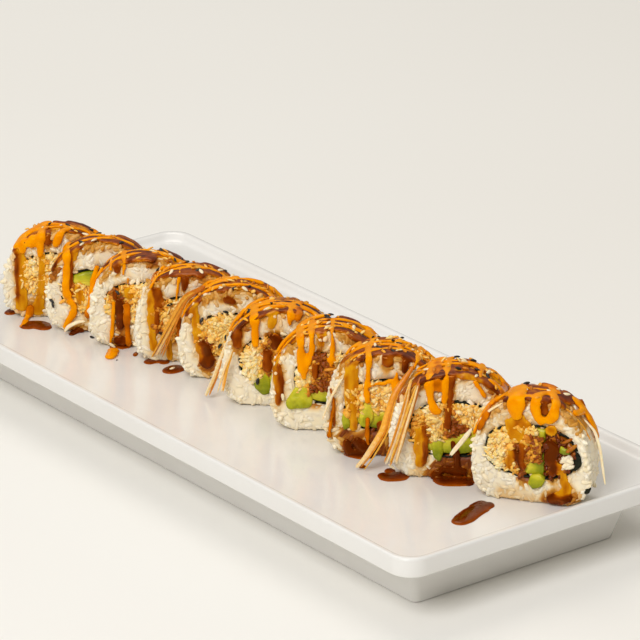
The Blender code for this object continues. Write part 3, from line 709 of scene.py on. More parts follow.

# Sauce strokes seen in the photograph. Each: sort, widths in pixels at even shares, pixels that it runs through.
# Sorts: mayo (orange), thin (thin orange over brown), amber, brown and deep glaze, and soak, wash and tan,
# which have no body and only stain what they cross. One wash, along the foot of the near slice, is painted shade.
PIXELS_PER_MM = {"a": 2.56, "b": 2.59, "c": 2.62, "d": 2.65, "e": 2.66, "f": 2.72, "g": 2.74, "h": 2.80,
                 "i": 2.83, "j": 2.86}
STROKES = {
    "a": (
        ("mayo", (9, 12, 12, 9), ((16, 250), (20, 242), (30, 234), (42, 227), (52, 223))),
        ("mayo", (9, 9, 6), ((24, 240), (23, 247), (22, 254))),
        ("mayo", (8, 8), ((33, 236), (31, 248))),
        ("mayo", (8, 9, 7), ((43, 228), (41, 240), (40, 258))),
        ("mayo", (6, 8, 9, 7), ((64, 231), (59, 236), (57, 242), (54, 247))),
        ("mayo", (6, 7, 5), ((62, 232), (72, 229), (80, 231))),
        ("brown", (8, 8), ((47, 230), (48, 246))),
        ("brown", (5, 8, 7), ((52, 222), (66, 224), (84, 232))),
        ("wash", (16, 16, 16), ((21, 252), (22, 280), (23, 310))),
        ("amber", (11, 12, 11), ((20, 250), (21, 275), (22, 312))),
        ("brown", (4, 5, 4), ((16, 252), (17, 270), (18, 296))),
        ("wash", (6, 8, 14), ((42, 256), (42, 290), (38, 316))),
        ("amber", (6, 7, 9, 14), ((42, 252), (42, 280), (40, 300), (36, 316))),
        ("thin", (7, 8), ((31, 304), (29, 317))),
        ("mayo", (4, 7, 4), ((28, 316), (24, 326), (19, 328))),
    ),
    "b": (
        ("mayo", (10, 9, 8), ((68, 237), (67, 262), (66, 288), (69, 299))),
        ("mayo", (8, 7, 7), ((68, 298), (75, 306), (73, 314), (67, 323), (64, 331))),
        ("brown", (5, 5, 5), ((71, 242), (71, 268), (70, 298))),
        ("wash", (18, 20), ((80, 280), (82, 304))),
        ("amber", (7, 10, 8), ((77, 284), (80, 296), (82, 306))),
        ("mayo", (5, 7, 7, 7), ((98, 264), (93, 282), (92, 298), (88, 310))),
        ("thin", (8, 5), ((88, 308), (88, 319))),
        ("amber", (5, 6, 4), ((78, 240), (76, 250), (75, 262))),
        ("deep", (6, 9, 6), ((70, 336), (78, 330), (85, 331))),
    ),
    "c": (
        ("mayo", (4, 5, 4), ((106, 240), (99, 248), (101, 257), (105, 263))),
        ("deep", (8, 9, 5), ((108, 243), (108, 252), (106, 262))),
        ("mayo", (4, 4), ((113, 256), (111, 272))),
        ("mayo", (7, 6, 3), ((124, 250), (125, 264), (123, 276))),
        ("brown", (7, 9, 8), ((117, 258), (117, 266), (117, 274))),
        ("mayo", (3, 2), ((128, 276), (128, 286))),
        ("mayo", (4, 5, 4), ((99, 262), (97, 272), (95, 280))),
        ("brown", (5, 4), ((116, 290), (114, 300))),
        ("mayo", (4, 5, 4), ((114, 300), (113, 320), (112, 336), (109, 346))),
        ("deep", (8, 9, 7), ((119, 298), (120, 315), (120, 330))),
        ("amber", (9, 9), ((128, 286), (130, 300))),
        ("thin", (6, 7, 6), ((127, 302), (127, 325), (129, 346))),
        ("deep", (8, 11, 9), ((113, 342), (121, 340), (128, 344))),
        ("mayo", (9, 12, 8), ((114, 350), (112, 356), (108, 360))),
        ("deep", (4, 4), ((116, 360), (118, 361))),
        ("brown", (3, 5, 4), ((134, 357), (136, 354), (137, 352))),
    ),
    "d": (
        ("brown", (3, 5, 4), ((128, 251), (140, 247), (150, 250))),
        ("mayo", (3, 4, 3), ((129, 252), (137, 251), (143, 254))),
        ("mayo", (7, 9, 8), ((148, 253), (157, 256), (161, 266))),
        ("thin", (8, 8, 7), ((150, 260), (156, 270), (155, 281))),
        ("amber", (5, 7, 6), ((143, 256), (144, 264), (145, 271))),
        ("mayo", (4, 5, 4), ((165, 272), (157, 279), (150, 290))),
        ("brown", (11, 13, 9), ((153, 287), (157, 298), (158, 310))),
        ("wash", (12, 12, 12), ((151, 290), (152, 320), (155, 350))),
        ("amber", (7, 8, 7), ((150, 292), (151, 320), (154, 352))),
        ("brown", (3, 4, 3), ((158, 310), (158, 322), (158, 334))),
        ("mayo", (4, 4, 3), ((181, 268), (178, 285), (176, 304))),
        ("brown", (6, 7, 5), ((185, 270), (185, 280), (184, 292))),
        ("wash", (16, 18, 14), ((170, 326), (171, 345), (172, 360))),
        ("amber", (5, 6, 6), ((169, 328), (169, 345), (170, 361))),
        ("thin", (5, 5), ((179, 316), (178, 342))),
    ),
    "e": (
        ("brown", (6, 7, 5), ((166, 262), (176, 266), (186, 263))),
        ("mayo", (6, 8, 8, 6), ((188, 280), (187, 268), (196, 261), (208, 262))),
        ("brown", (7, 9, 7), ((196, 272), (212, 269), (228, 276))),
        ("mayo", (6, 8, 7), ((240, 278), (222, 282), (202, 291))),
        ("mayo", (4, 6, 5), ((232, 268), (220, 274), (208, 278))),
        ("mayo", (4, 5, 4), ((200, 277), (196, 284), (198, 292))),
        ("brown", (6, 8, 6), ((222, 299), (230, 300), (236, 304))),
        ("wash", (12, 14, 14), ((195, 298), (197, 328), (202, 356))),
        ("amber", (7, 8, 8), ((194, 296), (196, 328), (200, 354))),
        ("deep", (8, 15, 16, 10), ((200, 340), (205, 352), (207, 362), (208, 369))),
        ("mayo", (3, 4, 3), ((184, 292), (178, 302), (176, 312))),
    ),
    "f": (
        ("mayo", (7, 8, 9, 8), ((262, 286), (252, 283), (245, 292), (238, 300))),
        ("mayo", (10, 9, 7, 4), ((239, 298), (238, 310), (235, 322), (231, 333))),
        ("mayo", (7, 8, 6), ((243, 296), (250, 303), (256, 304))),
        ("thin", (5, 7, 5), ((262, 284), (269, 290), (275, 296))),
        ("brown", (8, 12, 13, 9), ((237, 320), (236, 332), (237, 342), (238, 349))),
        ("mayo", (6, 7, 9), ((276, 302), (265, 303), (257, 308))),
        ("mayo", (10, 10, 10, 7), ((255, 306), (255, 320), (255, 335), (256, 348))),
        ("brown", (7, 9, 7), ((262, 304), (278, 304), (294, 311))),
        ("wash", (14, 20, 18), ((274, 306), (275, 318), (274, 332))),
        ("amber", (8, 10, 7), ((272, 306), (273, 318), (270, 330))),
        ("deep", (8, 12, 10), ((270, 334), (277, 340), (275, 350))),
        ("brown", (8, 9, 8), ((268, 348), (267, 360), (268, 373))),
        ("mayo", (5, 7, 6), ((303, 306), (293, 304), (290, 312), (290, 326))),
        ("thin", (7, 7, 5), ((297, 308), (300, 314), (296, 322))),
    ),
    "g": (
        ("amber", (6, 9, 10, 9, 5), ((289, 332), (280, 348), (276, 368), (278, 390), (278, 407))),
        ("brown", (4, 7, 8, 3), ((279, 366), (281, 380), (280, 392), (278, 406))),
        ("mayo", (5, 8, 9, 9), ((332, 314), (318, 312), (307, 318), (302, 328))),
        ("mayo", (9, 10, 9, 9), ((301, 324), (301, 342), (301, 360), (303, 374))),
        ("mayo", (8, 8, 7, 7), ((312, 318), (312, 335), (312, 350), (307, 366))),
        ("mayo", (9, 8, 5), ((305, 362), (304, 372), (304, 380))),
        ("wash", (18, 20, 18), ((321, 326), (324, 338), (324, 352))),
        ("amber", (7, 10, 8), ((320, 322), (322, 336), (321, 348))),
        ("brown", (7, 8, 6), ((318, 320), (325, 324), (332, 328))),
        ("mayo", (6, 5, 4, 6, 4), ((333, 321), (332, 332), (333, 344), (332, 358), (331, 368))),
        ("mayo", (5, 6, 3), ((326, 358), (333, 361), (338, 360))),
        ("soak", (16, 20, 20, 16), ((318, 354), (320, 370), (319, 384), (318, 398))),
        ("brown", (5, 7, 5), ((316, 362), (315, 372), (316, 380))),
        ("soak", (14, 16), ((322, 330), (322, 350))),
    ),
    "h": (
        ("mayo", (6, 9, 8, 6), ((354, 323), (347, 328), (344, 342), (345, 355))),
        ("amber", (8, 10, 8), ((351, 334), (350, 344), (348, 352))),
        ("wash", (16, 20, 20, 18), ((350, 350), (351, 378), (352, 405), (352, 430))),
        ("amber", (7, 10, 9, 8), ((353, 348), (354, 378), (353, 405), (354, 432))),
        ("amber", (4, 6, 5), ((346, 356), (347, 385), (348, 420))),
        ("thin", (3, 4, 4, 5), ((331, 388), (334, 402), (331, 422), (329, 438))),
        ("brown", (3, 3), ((335, 402), (334, 428))),
        ("mayo", (6, 8, 7, 5), ((357, 342), (363, 349), (371, 345), (378, 334))),
        ("mayo", (8, 8, 7, 6), ((369, 345), (369, 362), (368, 378), (366, 390))),
        ("mayo", (4, 4, 5, 4), ((368, 386), (376, 384), (386, 383), (393, 378))),
        ("mayo", (2, 6, 10, 7), ((397, 370), (396, 380), (396, 388), (394, 394))),
        ("mayo", (5, 7, 6), ((366, 388), (367, 396), (368, 404))),
        ("thin", (4, 5, 4), ((368, 416), (367, 434), (369, 454))),
        ("brown", (10, 12, 8), ((386, 352), (388, 360), (387, 368))),
        ("deep", (6, 8, 6), ((404, 348), (406, 360), (404, 374))),
        ("mayo", (5, 6, 4), ((400, 338), (399, 346), (401, 353))),
        ("mayo", (5, 7, 7, 4), ((426, 340), (420, 350), (417, 360), (413, 370))),
        ("mayo", (4, 9, 11, 7), ((399, 392), (396, 402), (395, 412), (394, 419))),
        ("soak", (16, 20, 20), ((346, 432), (350, 442), (356, 450))),
        ("soak", (18, 26, 22), ((370, 430), (376, 444), (372, 456))),
        ("deep", (6, 9, 7), ((346, 438), (347, 447), (350, 453))),
        ("deep", (7, 9, 6), ((374, 440), (372, 450), (366, 456))),
        ("deep", (8, 13, 9), ((354, 438), (362, 446), (372, 451))),
        ("deep", (6, 10, 10, 7), ((343, 450), (352, 453), (364, 456), (374, 458))),
        ("brown", (8, 12), ((380, 420), (384, 438))),
        ("brown", (4, 6, 5), ((352, 330), (364, 336), (380, 340))),
        ("thin", (4, 5, 4), ((358, 326), (368, 330), (384, 337))),
    ),
    "i": (
        ("mayo", (7, 9, 8, 9, 8), ((446, 345), (436, 355), (431, 370), (429, 388), (432, 405))),
        ("mayo", (8, 9, 8), ((431, 402), (436, 412), (442, 409))),
        ("mayo", (6, 7, 7, 7), ((456, 351), (450, 358), (447, 375), (444, 405))),
        ("thin", (6, 8, 6), ((439, 362), (438, 378), (438, 392))),
        ("brown", (6, 8, 7, 7), ((452, 362), (451, 385), (449, 405), (447, 430))),
        ("amber", (7, 13, 11, 13, 7), ((417, 426), (422, 437), (417, 447), (422, 457), (418, 468))),
        ("brown", (4, 5, 6, 4), ((424, 424), (426, 440), (425, 456), (423, 466))),
        ("wash", (14, 20, 16), ((418, 424), (420, 446), (420, 470))),
        ("soak", (16, 22, 22, 16), ((438, 470), (450, 466), (464, 464), (474, 468))),
        ("deep", (5, 8, 6), ((452, 440), (456, 454), (458, 468))),
        ("deep", (10, 13, 13, 10), ((434, 479), (446, 483), (462, 483), (474, 485))),
        ("deep", (12, 17, 17, 13), ((430, 473), (442, 478), (458, 479), (474, 480))),
        ("deep", (7, 10, 8), ((440, 468), (452, 470), (468, 472))),
        ("soak", (10, 20, 24, 20), ((452, 425), (460, 440), (464, 452), (462, 466))),
        ("deep", (9, 15, 15, 11), ((460, 359), (474, 365), (490, 373), (502, 380))),
        ("brown", (8, 14, 14, 10), ((456, 366), (472, 372), (488, 384), (500, 392))),
        ("thin", (5, 9, 9, 6), ((512, 372), (506, 384), (500, 394), (494, 400))),
        ("deep", (8, 10, 8), ((492, 366), (504, 374), (518, 382))),
        ("brown", (8, 10, 8), ((462, 364), (478, 366), (494, 374))),
        ("mayo", (6, 7, 5), ((484, 362), (480, 372), (479, 380))),
        ("mayo", (4, 5, 5), ((473, 380), (480, 388), (486, 398))),
    ),
    "j": (
        ("mayo", (7, 11, 11, 9, 5), ((500, 400), (487, 403), (478, 414), (472, 426), (468, 434))),
        ("thin", (4, 8, 8), ((492, 406), (486, 416), (478, 430))),
        ("wash", (10, 14, 10), ((484, 414), (488, 426), (492, 438))),
        ("mayo", (5, 6, 6, 5), ((507, 396), (516, 398), (526, 397), (536, 398))),
        ("brown", (6, 8, 6), ((524, 386), (532, 388), (538, 392))),
        ("wash", (14, 16, 12), ((502, 408), (506, 420), (510, 436))),
        ("mayo", (20, 21, 18, 14), ((519, 388), (517, 400), (516, 410), (518, 420))),
        ("amber", (18, 17, 12), ((517, 412), (519, 428), (518, 442))),
        ("amber", (9, 11, 9), ((507, 418), (511, 430), (514, 441))),
        ("amber", (8, 9, 8), ((526, 420), (529, 430), (533, 436))),
        ("mayo", (9, 11, 11, 10), ((539, 395), (535, 406), (538, 417), (546, 423))),
        ("mayo", (9, 10, 11, 10), ((551, 392), (556, 404), (554, 416), (546, 423))),
        ("mayo", (6, 8, 6), ((536, 398), (545, 394), (553, 396))),
        ("brown", (7, 8), ((544, 404), (545, 416))),
        ("amber", (10, 14, 10), ((545, 428), (552, 431), (558, 432))),
        ("thin", (6, 10, 8), ((540, 385), (552, 388), (558, 396))),
        ("deep", (14, 18, 16, 12), ((560, 400), (570, 398), (580, 401), (588, 409))),
        ("brown", (6, 7, 6), ((562, 388), (574, 390), (586, 396))),
        ("mayo", (6, 8, 6), ((572, 414), (578, 414), (584, 410))),
        ("brown", (5, 6, 3), ((588, 408), (598, 420), (608, 433))),
        ("amber", (4, 5, 3), ((590, 402), (602, 412), (613, 424))),
        ("wash", (14, 16, 20), ((560, 470), (564, 482), (560, 496))),
        ("amber", (7, 8, 11, 12), ((560, 464), (563, 478), (567, 490), (562, 498))),
        ("deep", (9, 14, 11), ((546, 500), (558, 498), (573, 498))),
        ("deep", (8, 13, 12, 11, 7), ((546, 440), (555, 448), (549, 459), (556, 468), (550, 477))),
        ("amber", (9, 12, 9), ((532, 440), (535, 450), (534, 462))),
        ("amber", (6, 10, 8, 6), ((508, 446), (514, 454), (508, 463), (513, 471))),
        ("brown", (6, 11, 8, 7), ((519, 443), (525, 451), (519, 460), (525, 470))),
        # Painted shade: this stroke tints the rice along the foot of the near slice tan, where its contact shadow
        # falls.
        ("wash", (12, 14, 12), ((500, 498), (515, 500), (532, 500))),
        ("soak", (12, 18, 18, 12), ((514, 444), (517, 456), (520, 468), (524, 478))),
        ("soak", (10, 14, 14), ((556, 448), (562, 456), (566, 466))),
    ),
}
# For each sort: the sauce that it is made of, its height in millimetres and how dark it is.
SORTS = {
    "mayo": ("mayo", 1.3, 0.12), "thin": ("mayo", 0.8, 0.62),
    "amber": ("glaze", 0.5, 0.22), "brown": ("glaze", 0.6, 0.6), "deep": ("glaze", 0.7, 0.85),
    "soak": ("glaze", 0.0, 1.0), "wash": ("glaze", 0.0, 0.12), "tan": ("glaze", 0.0, 0.5),
}
# How far behind a face its zigzag starts, so that it keeps off the strokes above, millimetres.
ZIGZAG_START = {"i": -9.0, "j": -6.5}
COMMON_START = -4.6
# How far the middle line of a sort lies over the skin of the slice, millimetres.
HEIGHTS = {"mayo": 0.6, "thin": 0.45, "amber": -0.05}
COMMON_HEIGHT = 0.2


def over_dome(piece, share, out):
    """Place on the domed top of a slice: share of the half width across, and how far out."""
    middle = WIDE_AT * piece.height
    share = max(min(share, 0.99), -0.99)
    up = middle + (piece.height - middle) * (1 - abs(share) ** TOP_POWER) ** (1 / TOP_POWER)
    return share * piece.half, out, up


def drizzle(piece, rng):
    """Sauce on the top and the far side, which the camera hardly sees: a mayonnaise zigzag over glaze."""
    depth = piece.depth
    # The near slice shows its far side too, so its falls start farther back and stay short.
    first_fall, lowest = (-8.0, 0.55) if piece.name == "j" else (-2.0, 0.25)
    jobs = []
    turns, out, side = [], ZIGZAG_START.get(piece.name, COMMON_START), -1
    while out > 1.0 - depth:
        turns.append((side * rng.uniform(0.55, 0.92), out))
        out -= rng.uniform(2.4, 3.8)
        side = -side
    path = []
    for (a, before), (b, after) in zip(turns[:-1], turns[1:]):
        path += [over_dome(piece, a + (b - a) * step / 6, before + (after - before) * step / 6) for step in range(6)]
    jobs.append(("mayo", rng.uniform(1.0, 2.6, 13), path))
    for out in rng.uniform(1.5 - depth, first_fall, 3):
        fall = [over_dome(piece, 0.5 + 0.12 * step, out) for step in range(4)]
        drop = rng.uniform(lowest, 0.6) * piece.height
        fall += [(piece.half, out + rng.uniform(-0.4, 0.4), up) for up in np.linspace(0.7 * piece.height, drop, 4)]
        jobs.append((rng.choice(("mayo", "mayo", "brown", "amber")), rng.uniform(2.2, 3.6, 4), fall))
    for out in (-2.6, -depth / 2, 2.0 - depth):
        jobs.append(("tan", rng.uniform(4.0, 6.5, 5), [over_dome(piece, t, out) for t in np.linspace(-0.75, 0.8, 7)]))
    low, high = 0.8 - depth, -0.6
    for number in range(SHORT_FLOWS):
        start = rng.uniform(-0.9, 0.4)
        reach = rng.uniform(0.25, 0.8)
        out, drift = rng.uniform(low, high), rng.uniform(-2.0, 2.0)
        strip_path = [over_dome(piece, start + reach * t, min(max(out + drift * t, low), high))
                      for t in np.linspace(0, 1, 6)]
        jobs.append((("brown", "deep", "amber")[number % 3], rng.uniform(3.5, 6.5, 4), strip_path))
    return jobs


def sauces(piece, rng):
    """Mesh parts of one slice's sauces by kind, and sample places with how dark each is."""
    skin = skins[piece.name]
    parts = {"mayo": [], "glaze": []}
    marks = {"mayo": [], "glaze": []}
    jobs = [(sort, np.array(widths) / PIXELS_PER_MM[piece.name], pixels, False)
            for sort, widths, pixels in STROKES[piece.name]]
    jobs += [(sort, widths, path, True) for sort, widths, path in drizzle(piece, rng)]
    for sort, widths, path, local in jobs:
        kind, lift, dark = SORTS[sort]
        places, normals = lay_stroke(piece, skin, path, local)
        place, normal, width, want = resample(places, normals, widths, SAUCE_STEP)
        width = width * (1.0 + 0.36 * waver(np.column_stack((want, want * 0, want * 0)), 2.4, len(path) + dark))
        if lift:
            place = place + normal * HEIGHTS.get(sort, COMMON_HEIGHT)
            high = min(lift, 0.42 * float(width.max()))
            parts[kind].append(strip(place, normal, width * 1.12, want, high, 1.4 if kind == "mayo" else 1.0))
        marks[kind].append(np.column_stack((place, np.full(len(place), dark), width / 2)))
    return parts, {kind: np.concatenate(rows) for kind, rows in marks.items()}


def nearest_sauce(points, marks):
    """How dark the sauce near each point is, blended over its three nearest marks, and how far off its edge is."""
    tree = KDTree(len(marks))
    for number, mark in enumerate(marks):
        tree.insert(Vector(mark[:3]), number)
    tree.balance()
    values, gaps = np.zeros(len(points)), np.zeros(len(points))
    for number, point in enumerate(points):
        found = tree.find_n(Vector(point), 3)
        weights = np.array([1.0 / (distance + 0.3) ** 2 for _, _, distance in found])
        values[number] = (weights * marks[[index for _, index, _ in found], 3]).sum() / weights.sum()
        gaps[number] = min(max(distance - marks[index, 4], 0.0) for _, index, distance in found)
    return values, gaps


def dress_sauces(piece, parts, marks, mats):
    """Make the melted sauces of one slice, with a tone that follows how thick each lies."""
    for kind, slot in (("mayo", "rice"), ("glaze", "glaze")):
        verts, faces = melt(kind + "_" + piece.name, parts[kind], SAUCE_CELL)
        dark, _ = nearest_sauce(verts, marks[kind])
        deep = np.array([skins[piece.name].find_nearest(Vector(v))[3] for v in verts])
        if kind == "mayo":
            dark = dark + 0.05 + np.clip(0.7 - deep, 0, 0.7) * 0.75 + 0.26 * waver(verts, 2.6, 4)
        else:
            dark = dark - np.clip(0.45 - deep, 0, 0.45) * 0.9 + 0.3 * waver(verts * (1, 1, 0.5), 1.8, 6)
        item = make("%s_%s" % (kind, piece.name), keep_inside(piece, verts), faces, mats[kind],
                    {"dark": np.clip(dark, 0, 1)})
        settle(item, slot, "rice_" + piece.name)


def stained(darks, gaps, least):
    """How stained rice is by sauce of a darkness at a distance; along the foot of the near slice the same stain is
    painted shade.
    """
    return np.clip(1 - gaps / SOAK_REACH, 0, 1) ** SOAK_FADE * (least + 0.35 * darks + 0.4 * darks ** 2)


def rice(piece, marks, mats, rng):
    """Rice ring of a slice: a lumpy core under closely packed grains, stained where sauce has run."""
    count = 150
    core, faces = ring_rows(piece, CORE_INSET, count, True)
    core = piece.world(core)
    away = unit(core - piece.world((piece.loop[2], -piece.depth / 2, piece.loop[3])))
    core += away * (0.25 * waver(core, 2.2, 1))[:, None]
    skin, skin_faces = ring_rows(piece, 0.0, 90, False)
    skin = piece.world(skin)
    normals, _ = outward(skin, skin_faces)
    front = normals[:4] @ piece.axes[1]
    if front.mean() < 0:
        skin_faces = skin_faces[:, ::-1]
        faces = faces[:, ::-1]
    places, normals = spread(skin, skin_faces, GRAIN_SPACE, GRAIN_TRIES, rng)
    keep = (piece.local(places)[:, 2] > 0.8) | (normals[:, 2] > -0.5)
    places, normals = places[keep], normals[keep]
    along, normals = tangents(normals, rng, GRAIN_TILT)
    number = len(places)
    sizes = np.array(GRAIN) / 2 * rng.uniform(0.82, 1.12, (number, 1)) * rng.uniform(0.92, 1.08, (number, 3))
    places = places - normals * rng.uniform(*GRAIN_SUNK, number)[:, None]
    form, form_faces = grain_form(3, 7, 0.42, 0.12)
    verts, grain_faces = place_forms(form, form_faces, places, along, normals, sizes)
    sauce = np.concatenate((marks["mayo"], marks["glaze"]))
    soak = stained(*nearest_sauce(places, sauce), 0.25) * rng.uniform(0.75, 1.05, number)
    tone = rng.uniform(0.2, 0.8, number)
    core_soak = stained(*nearest_sauce(core, sauce), 0.3)
    all_verts, all_faces = join(((core, faces), (verts, grain_faces)))
    all_verts = keep_inside(piece, all_verts)
    values = {"tone": np.concatenate((np.full(len(core), 0.4), np.repeat(tone, len(form)))),
              "stain": np.concatenate((core_soak, np.repeat(soak, len(form))))}
    item = make("rice_grains_" + piece.name, all_verts, all_faces, mats["rice"], values)
    settle(item, "rice", "rice_" + piece.name)


def nori(piece, mats):
    """Wavy sheet of nori round the filling, its edge standing a little out of the face."""
    count = 160
    depth = piece.depth
    outs = (0.25 if piece.name in "ij" else -0.5, -1.0, -depth / 2, 0.6 - depth, -depth - 0.1)
    outer = [upright(loop_outline(piece, GAP, count), out) for out in outs]
    inner = [upright(loop_outline(piece, GAP + NORI_THICK, count), out) for out in reversed(outs)]
    verts = piece.world(np.concatenate(outer + inner))
    centre = piece.world((piece.loop[2], -depth / 2, piece.loop[3]))
    away = verts - centre
    away = unit(away - np.outer(away @ piece.axes[1], piece.axes[1]))
    verts += away * (0.75 * waver(np.tile(verts[:count], (10, 1)), 3.2, 2))[:, None]
    verts += piece.axes[1] * (0.35 * waver(verts, 4.0, 3))[:, None]
    item = make("nori_sheet_" + piece.name, verts, bridge(10, count, True), mats["nori"])
    settle(item, "nori", "nori_" + piece.name)


def clip(points, angle, distance, keep):
    """Part of an outline on one side of a straight line."""
    u = (math.cos(angle), math.sin(angle))
    kept = []
    for a, b in zip(points, np.roll(points, -1, axis=0)):
        da = (a @ u - distance) * keep
        db = (b @ u - distance) * keep
        if da >= 0:
            kept.append(a)
        if da * db < 0:
            kept.append(a + da / (da - db) * (b - a))
    return np.array(kept)


def sector(piece):
    """Sections of crab, avocado and soaked crab in the loop of a slice."""
    dense = loop_outline(piece, 2 * GAP + 0.7, 240)

    def line(cut):
        angle = math.radians(cut[0])
        return angle, piece.loop[2] * math.cos(angle) + piece.loop[3] * math.sin(angle) + cut[1]

    angle, near = line(piece.cut)
    salad, green, dark = clip(dense, angle, near - 0.1, -1), clip(dense, angle, near + 0.1, 1), None
    if piece.name in SOAKED_CUT:
        angle, near = line(SOAKED_CUT[piece.name])
        dark, green = clip(green, angle, near + 0.1, 1), clip(green, angle, near - 0.1, -1)
    return salad, green, dark


def plug(piece, region, count, rounds, lump, seed):
    """Solid that runs through the slice, its section a region of the loop, its ends lumpy."""
    ring = even_steps(region[:, 0], region[:, 1], count)
    centre = ring.mean(axis=0)
    shares = [(0.02, rounds[0][1])] + list(rounds) + [(0.02, rounds[-1][1])]
    verts = piece.world(np.concatenate([upright(centre + share * (ring - centre), out) for share, out in shares]))
    verts += piece.axes[1] * (lump * waver(verts, 2.4, seed))[:, None]
    start, end = fan(0, count), fan((len(shares) - 1) * count, count)
    return verts, np.concatenate((bridge(len(shares), count), start[:, ::-1], end))


def inside(points, region):
    """Which flat points lie in a region."""
    x, z = points[:, 0], points[:, 1]
    found = np.zeros(len(points), bool)
    for a, b in zip(region, np.roll(region, -1, axis=0)):
        crosses = (a[1] > z) != (b[1] > z)
        edge = a[0] + (z - a[1]) / (b[1] - a[1] + 1e-12) * (b[0] - a[0])
        found ^= crosses & (x < edge)
    return found


def crab(name, piece, region, number, marks, mat, tones, slot, node, rng):
    """Crab salad: a lumpy core bristling with short curled fibres front and back."""
    depth = piece.depth
    rounds = ((0.2, 0.3), (0.4, 0.3), (0.6, 0.25), (0.76, 0.2), (0.9, -0.05), (0.98, -0.9), (1.0, -2.2),
              (1.0, -depth / 2), (1.0, 2.0 - depth), (0.97, 0.9 - depth), (0.82, -depth), (0.5, -depth - 0.1))
    core, core_faces = plug(piece, region, 60, rounds, 1.1, 5)
    low, high = region.min(axis=0), region.max(axis=0)
    flat = rng.uniform(low, high, (number * 6, 2))
    middle = region.mean(axis=0)
    flat = flat[inside(middle + (flat - middle) * 0.97, region)][:number]
    back = rng.random(len(flat)) < 0.3
    lump = 1.1 * waver(piece.world(upright(flat, 0.2)), 2.4, 5)
    out = np.where(back, -depth - rng.uniform(-0.5, 0.5, len(flat)), 0.2 + lump + rng.uniform(-0.3, 0.45, len(flat)))
    places = piece.world(upright(flat, out))
    normals = np.where(back[:, None], -piece.axes[1], piece.axes[1])
    along, normals = tangents(normals, rng, 0.35)
    long = rng.uniform(0.35, 1.0, len(flat)) ** 1.6 * 3.0
    bulk = np.where(rng.random(len(flat)) < 0.22, 2.0, 1.0)
    sizes = np.stack((long / bulk ** 0.6, rng.uniform(0.4, 0.85, len(flat)) * bulk,
                      rng.uniform(0.35, 0.6, len(flat)) * bulk), axis=1)
    form, form_faces = grain_form(3, 5, 0.3, 0.6)
    verts, faces = place_forms(form, form_faces, places, along, normals, sizes)
    darks, gaps = nearest_sauce(places, marks)
    # Painted shade: flakes set back in the hollows of the salad are drawn a little darker, flakes on its bumps a
    # little lighter.
    tone = rng.uniform(*tones, len(flat)) - 0.12 * lump + np.clip(1 - gaps / 2.2, 0, 1) * (0.1 + 0.7 * darks)
    all_verts, all_faces = join(((core, core_faces), (verts, faces)))
    values = {"tone": np.concatenate((np.full(len(core), tones[0] + 0.1), np.repeat(tone, len(form))))}
    item = make(name, all_verts, all_faces, mat, values)
    settle(item, slot, node)


def avocado(piece, region, mats):
    """Wedge of avocado: soft cut face with a few knife ridges, greener towards the skin side."""
    depth = piece.depth
    rounds = ((0.3, 0.1), (0.6, 0.15), (0.85, 0.1), (0.96, -0.25), (1.0, -1.0), (1.0, -depth / 2), (1.0, 1.0 - depth),
              (0.96, 0.25 - depth), (0.85, -depth), (0.3, -depth))
    verts, faces = plug(piece, region, 90, rounds, 0.35, 9)
    angle = math.radians(piece.cut[0])
    local = piece.local(verts)
    run = local[:, 0] * math.cos(angle) + local[:, 2] * math.sin(angle)
    tone = (run - run.min()) / (run.max() - run.min())
    item = make("avocado_wedge_" + piece.name, verts, faces, mats["avocado"], {"tone": 0.1 + 0.75 * tone})
    settle(item, "avocado", "avocado_" + piece.name)


def corner_ring(inset, height, steps):
    """Points of one rounded rectangle of the plate, drawn in by inset, at one height."""
    half = np.array((PLATE_LENGTH / 2 - inset, PLATE_WIDTH / 2 - inset))
    radius = max(CORNER_RADIUS - 0.45 * inset, 3.0)
    rows = []
    for corner, (sx, sy) in enumerate(((1, 1), (-1, 1), (-1, -1), (1, -1))):
        angle = math.pi / 2 * (corner + np.arange(steps + 1) / steps)
        rows.append(np.stack((sx * (half[0] - radius) + radius * np.cos(angle),
                              sy * (half[1] - radius) + radius * np.sin(angle),
                              np.full(steps + 1, height)), axis=1))
    return np.concatenate(rows)


def soften(corners, steps):
    """Round each corner of a section line by its own radius."""
    line = [np.array(corners[0][:2])]
    for before, here, after in zip(corners[:-2], corners[1:-1], corners[2:]):
        spot, radius = np.array(here[:2]), here[2]
        back, ahead = np.array(before[:2]) - spot, np.array(after[:2]) - spot
        cut = min(radius, np.linalg.norm(back) * 0.48, np.linalg.norm(ahead) * 0.48)
        start, end = spot + back / np.linalg.norm(back) * cut, spot + ahead / np.linalg.norm(ahead) * cut
        for step in range(steps + 1):
            t = step / steps
            line.append((1 - t) ** 2 * start + 2 * t * (1 - t) * spot + t * t * end)
    line.append(np.array(corners[-1][:2]))
    return line


def plate(mat):
    """White plate: thin rolled lip, soft cove, flat well, tapered base and a recess below."""
    wall = BASE_FOOT_INSET + FOOT_WIDTH
    corners = ((60.0, RECESS_ROOF, 0), (wall + 3.0, RECESS_ROOF, 1.5), (wall, RECESS_ROOF - 2.5, 1.5),
               (wall, 0.0, 0.6), (BASE_FOOT_INSET, 0.0, 0.8), (BASE_TOP_INSET, LIP_BOTTOM, 1.6),
               (0.0, LIP_BOTTOM, 1.0), (0.0, PLATE_HEIGHT, 1.1), (LIP_WIDTH, PLATE_HEIGHT - 0.05, 1.1),
               (LIP_WIDTH + 2.0, FLOOR + 0.15, 2.6), (LIP_WIDTH + 14.0, FLOOR, 4.0), (60.0, FLOOR, 0))
    line = soften(corners, 6)
    steps = 16
    verts = np.concatenate([corner_ring(inset, height, steps) for inset, height in line])
    count = 4 * (steps + 1)
    start, end = fan(0, count), fan((len(line) - 1) * count, count)
    item = make("porcelain_plate", verts, np.concatenate((bridge(len(line), count), start[:, ::-1], end)), mat)
    item.data.set_sharp_from_angle(angle=math.radians(50))
    settle(item, "porcelain", "plate")


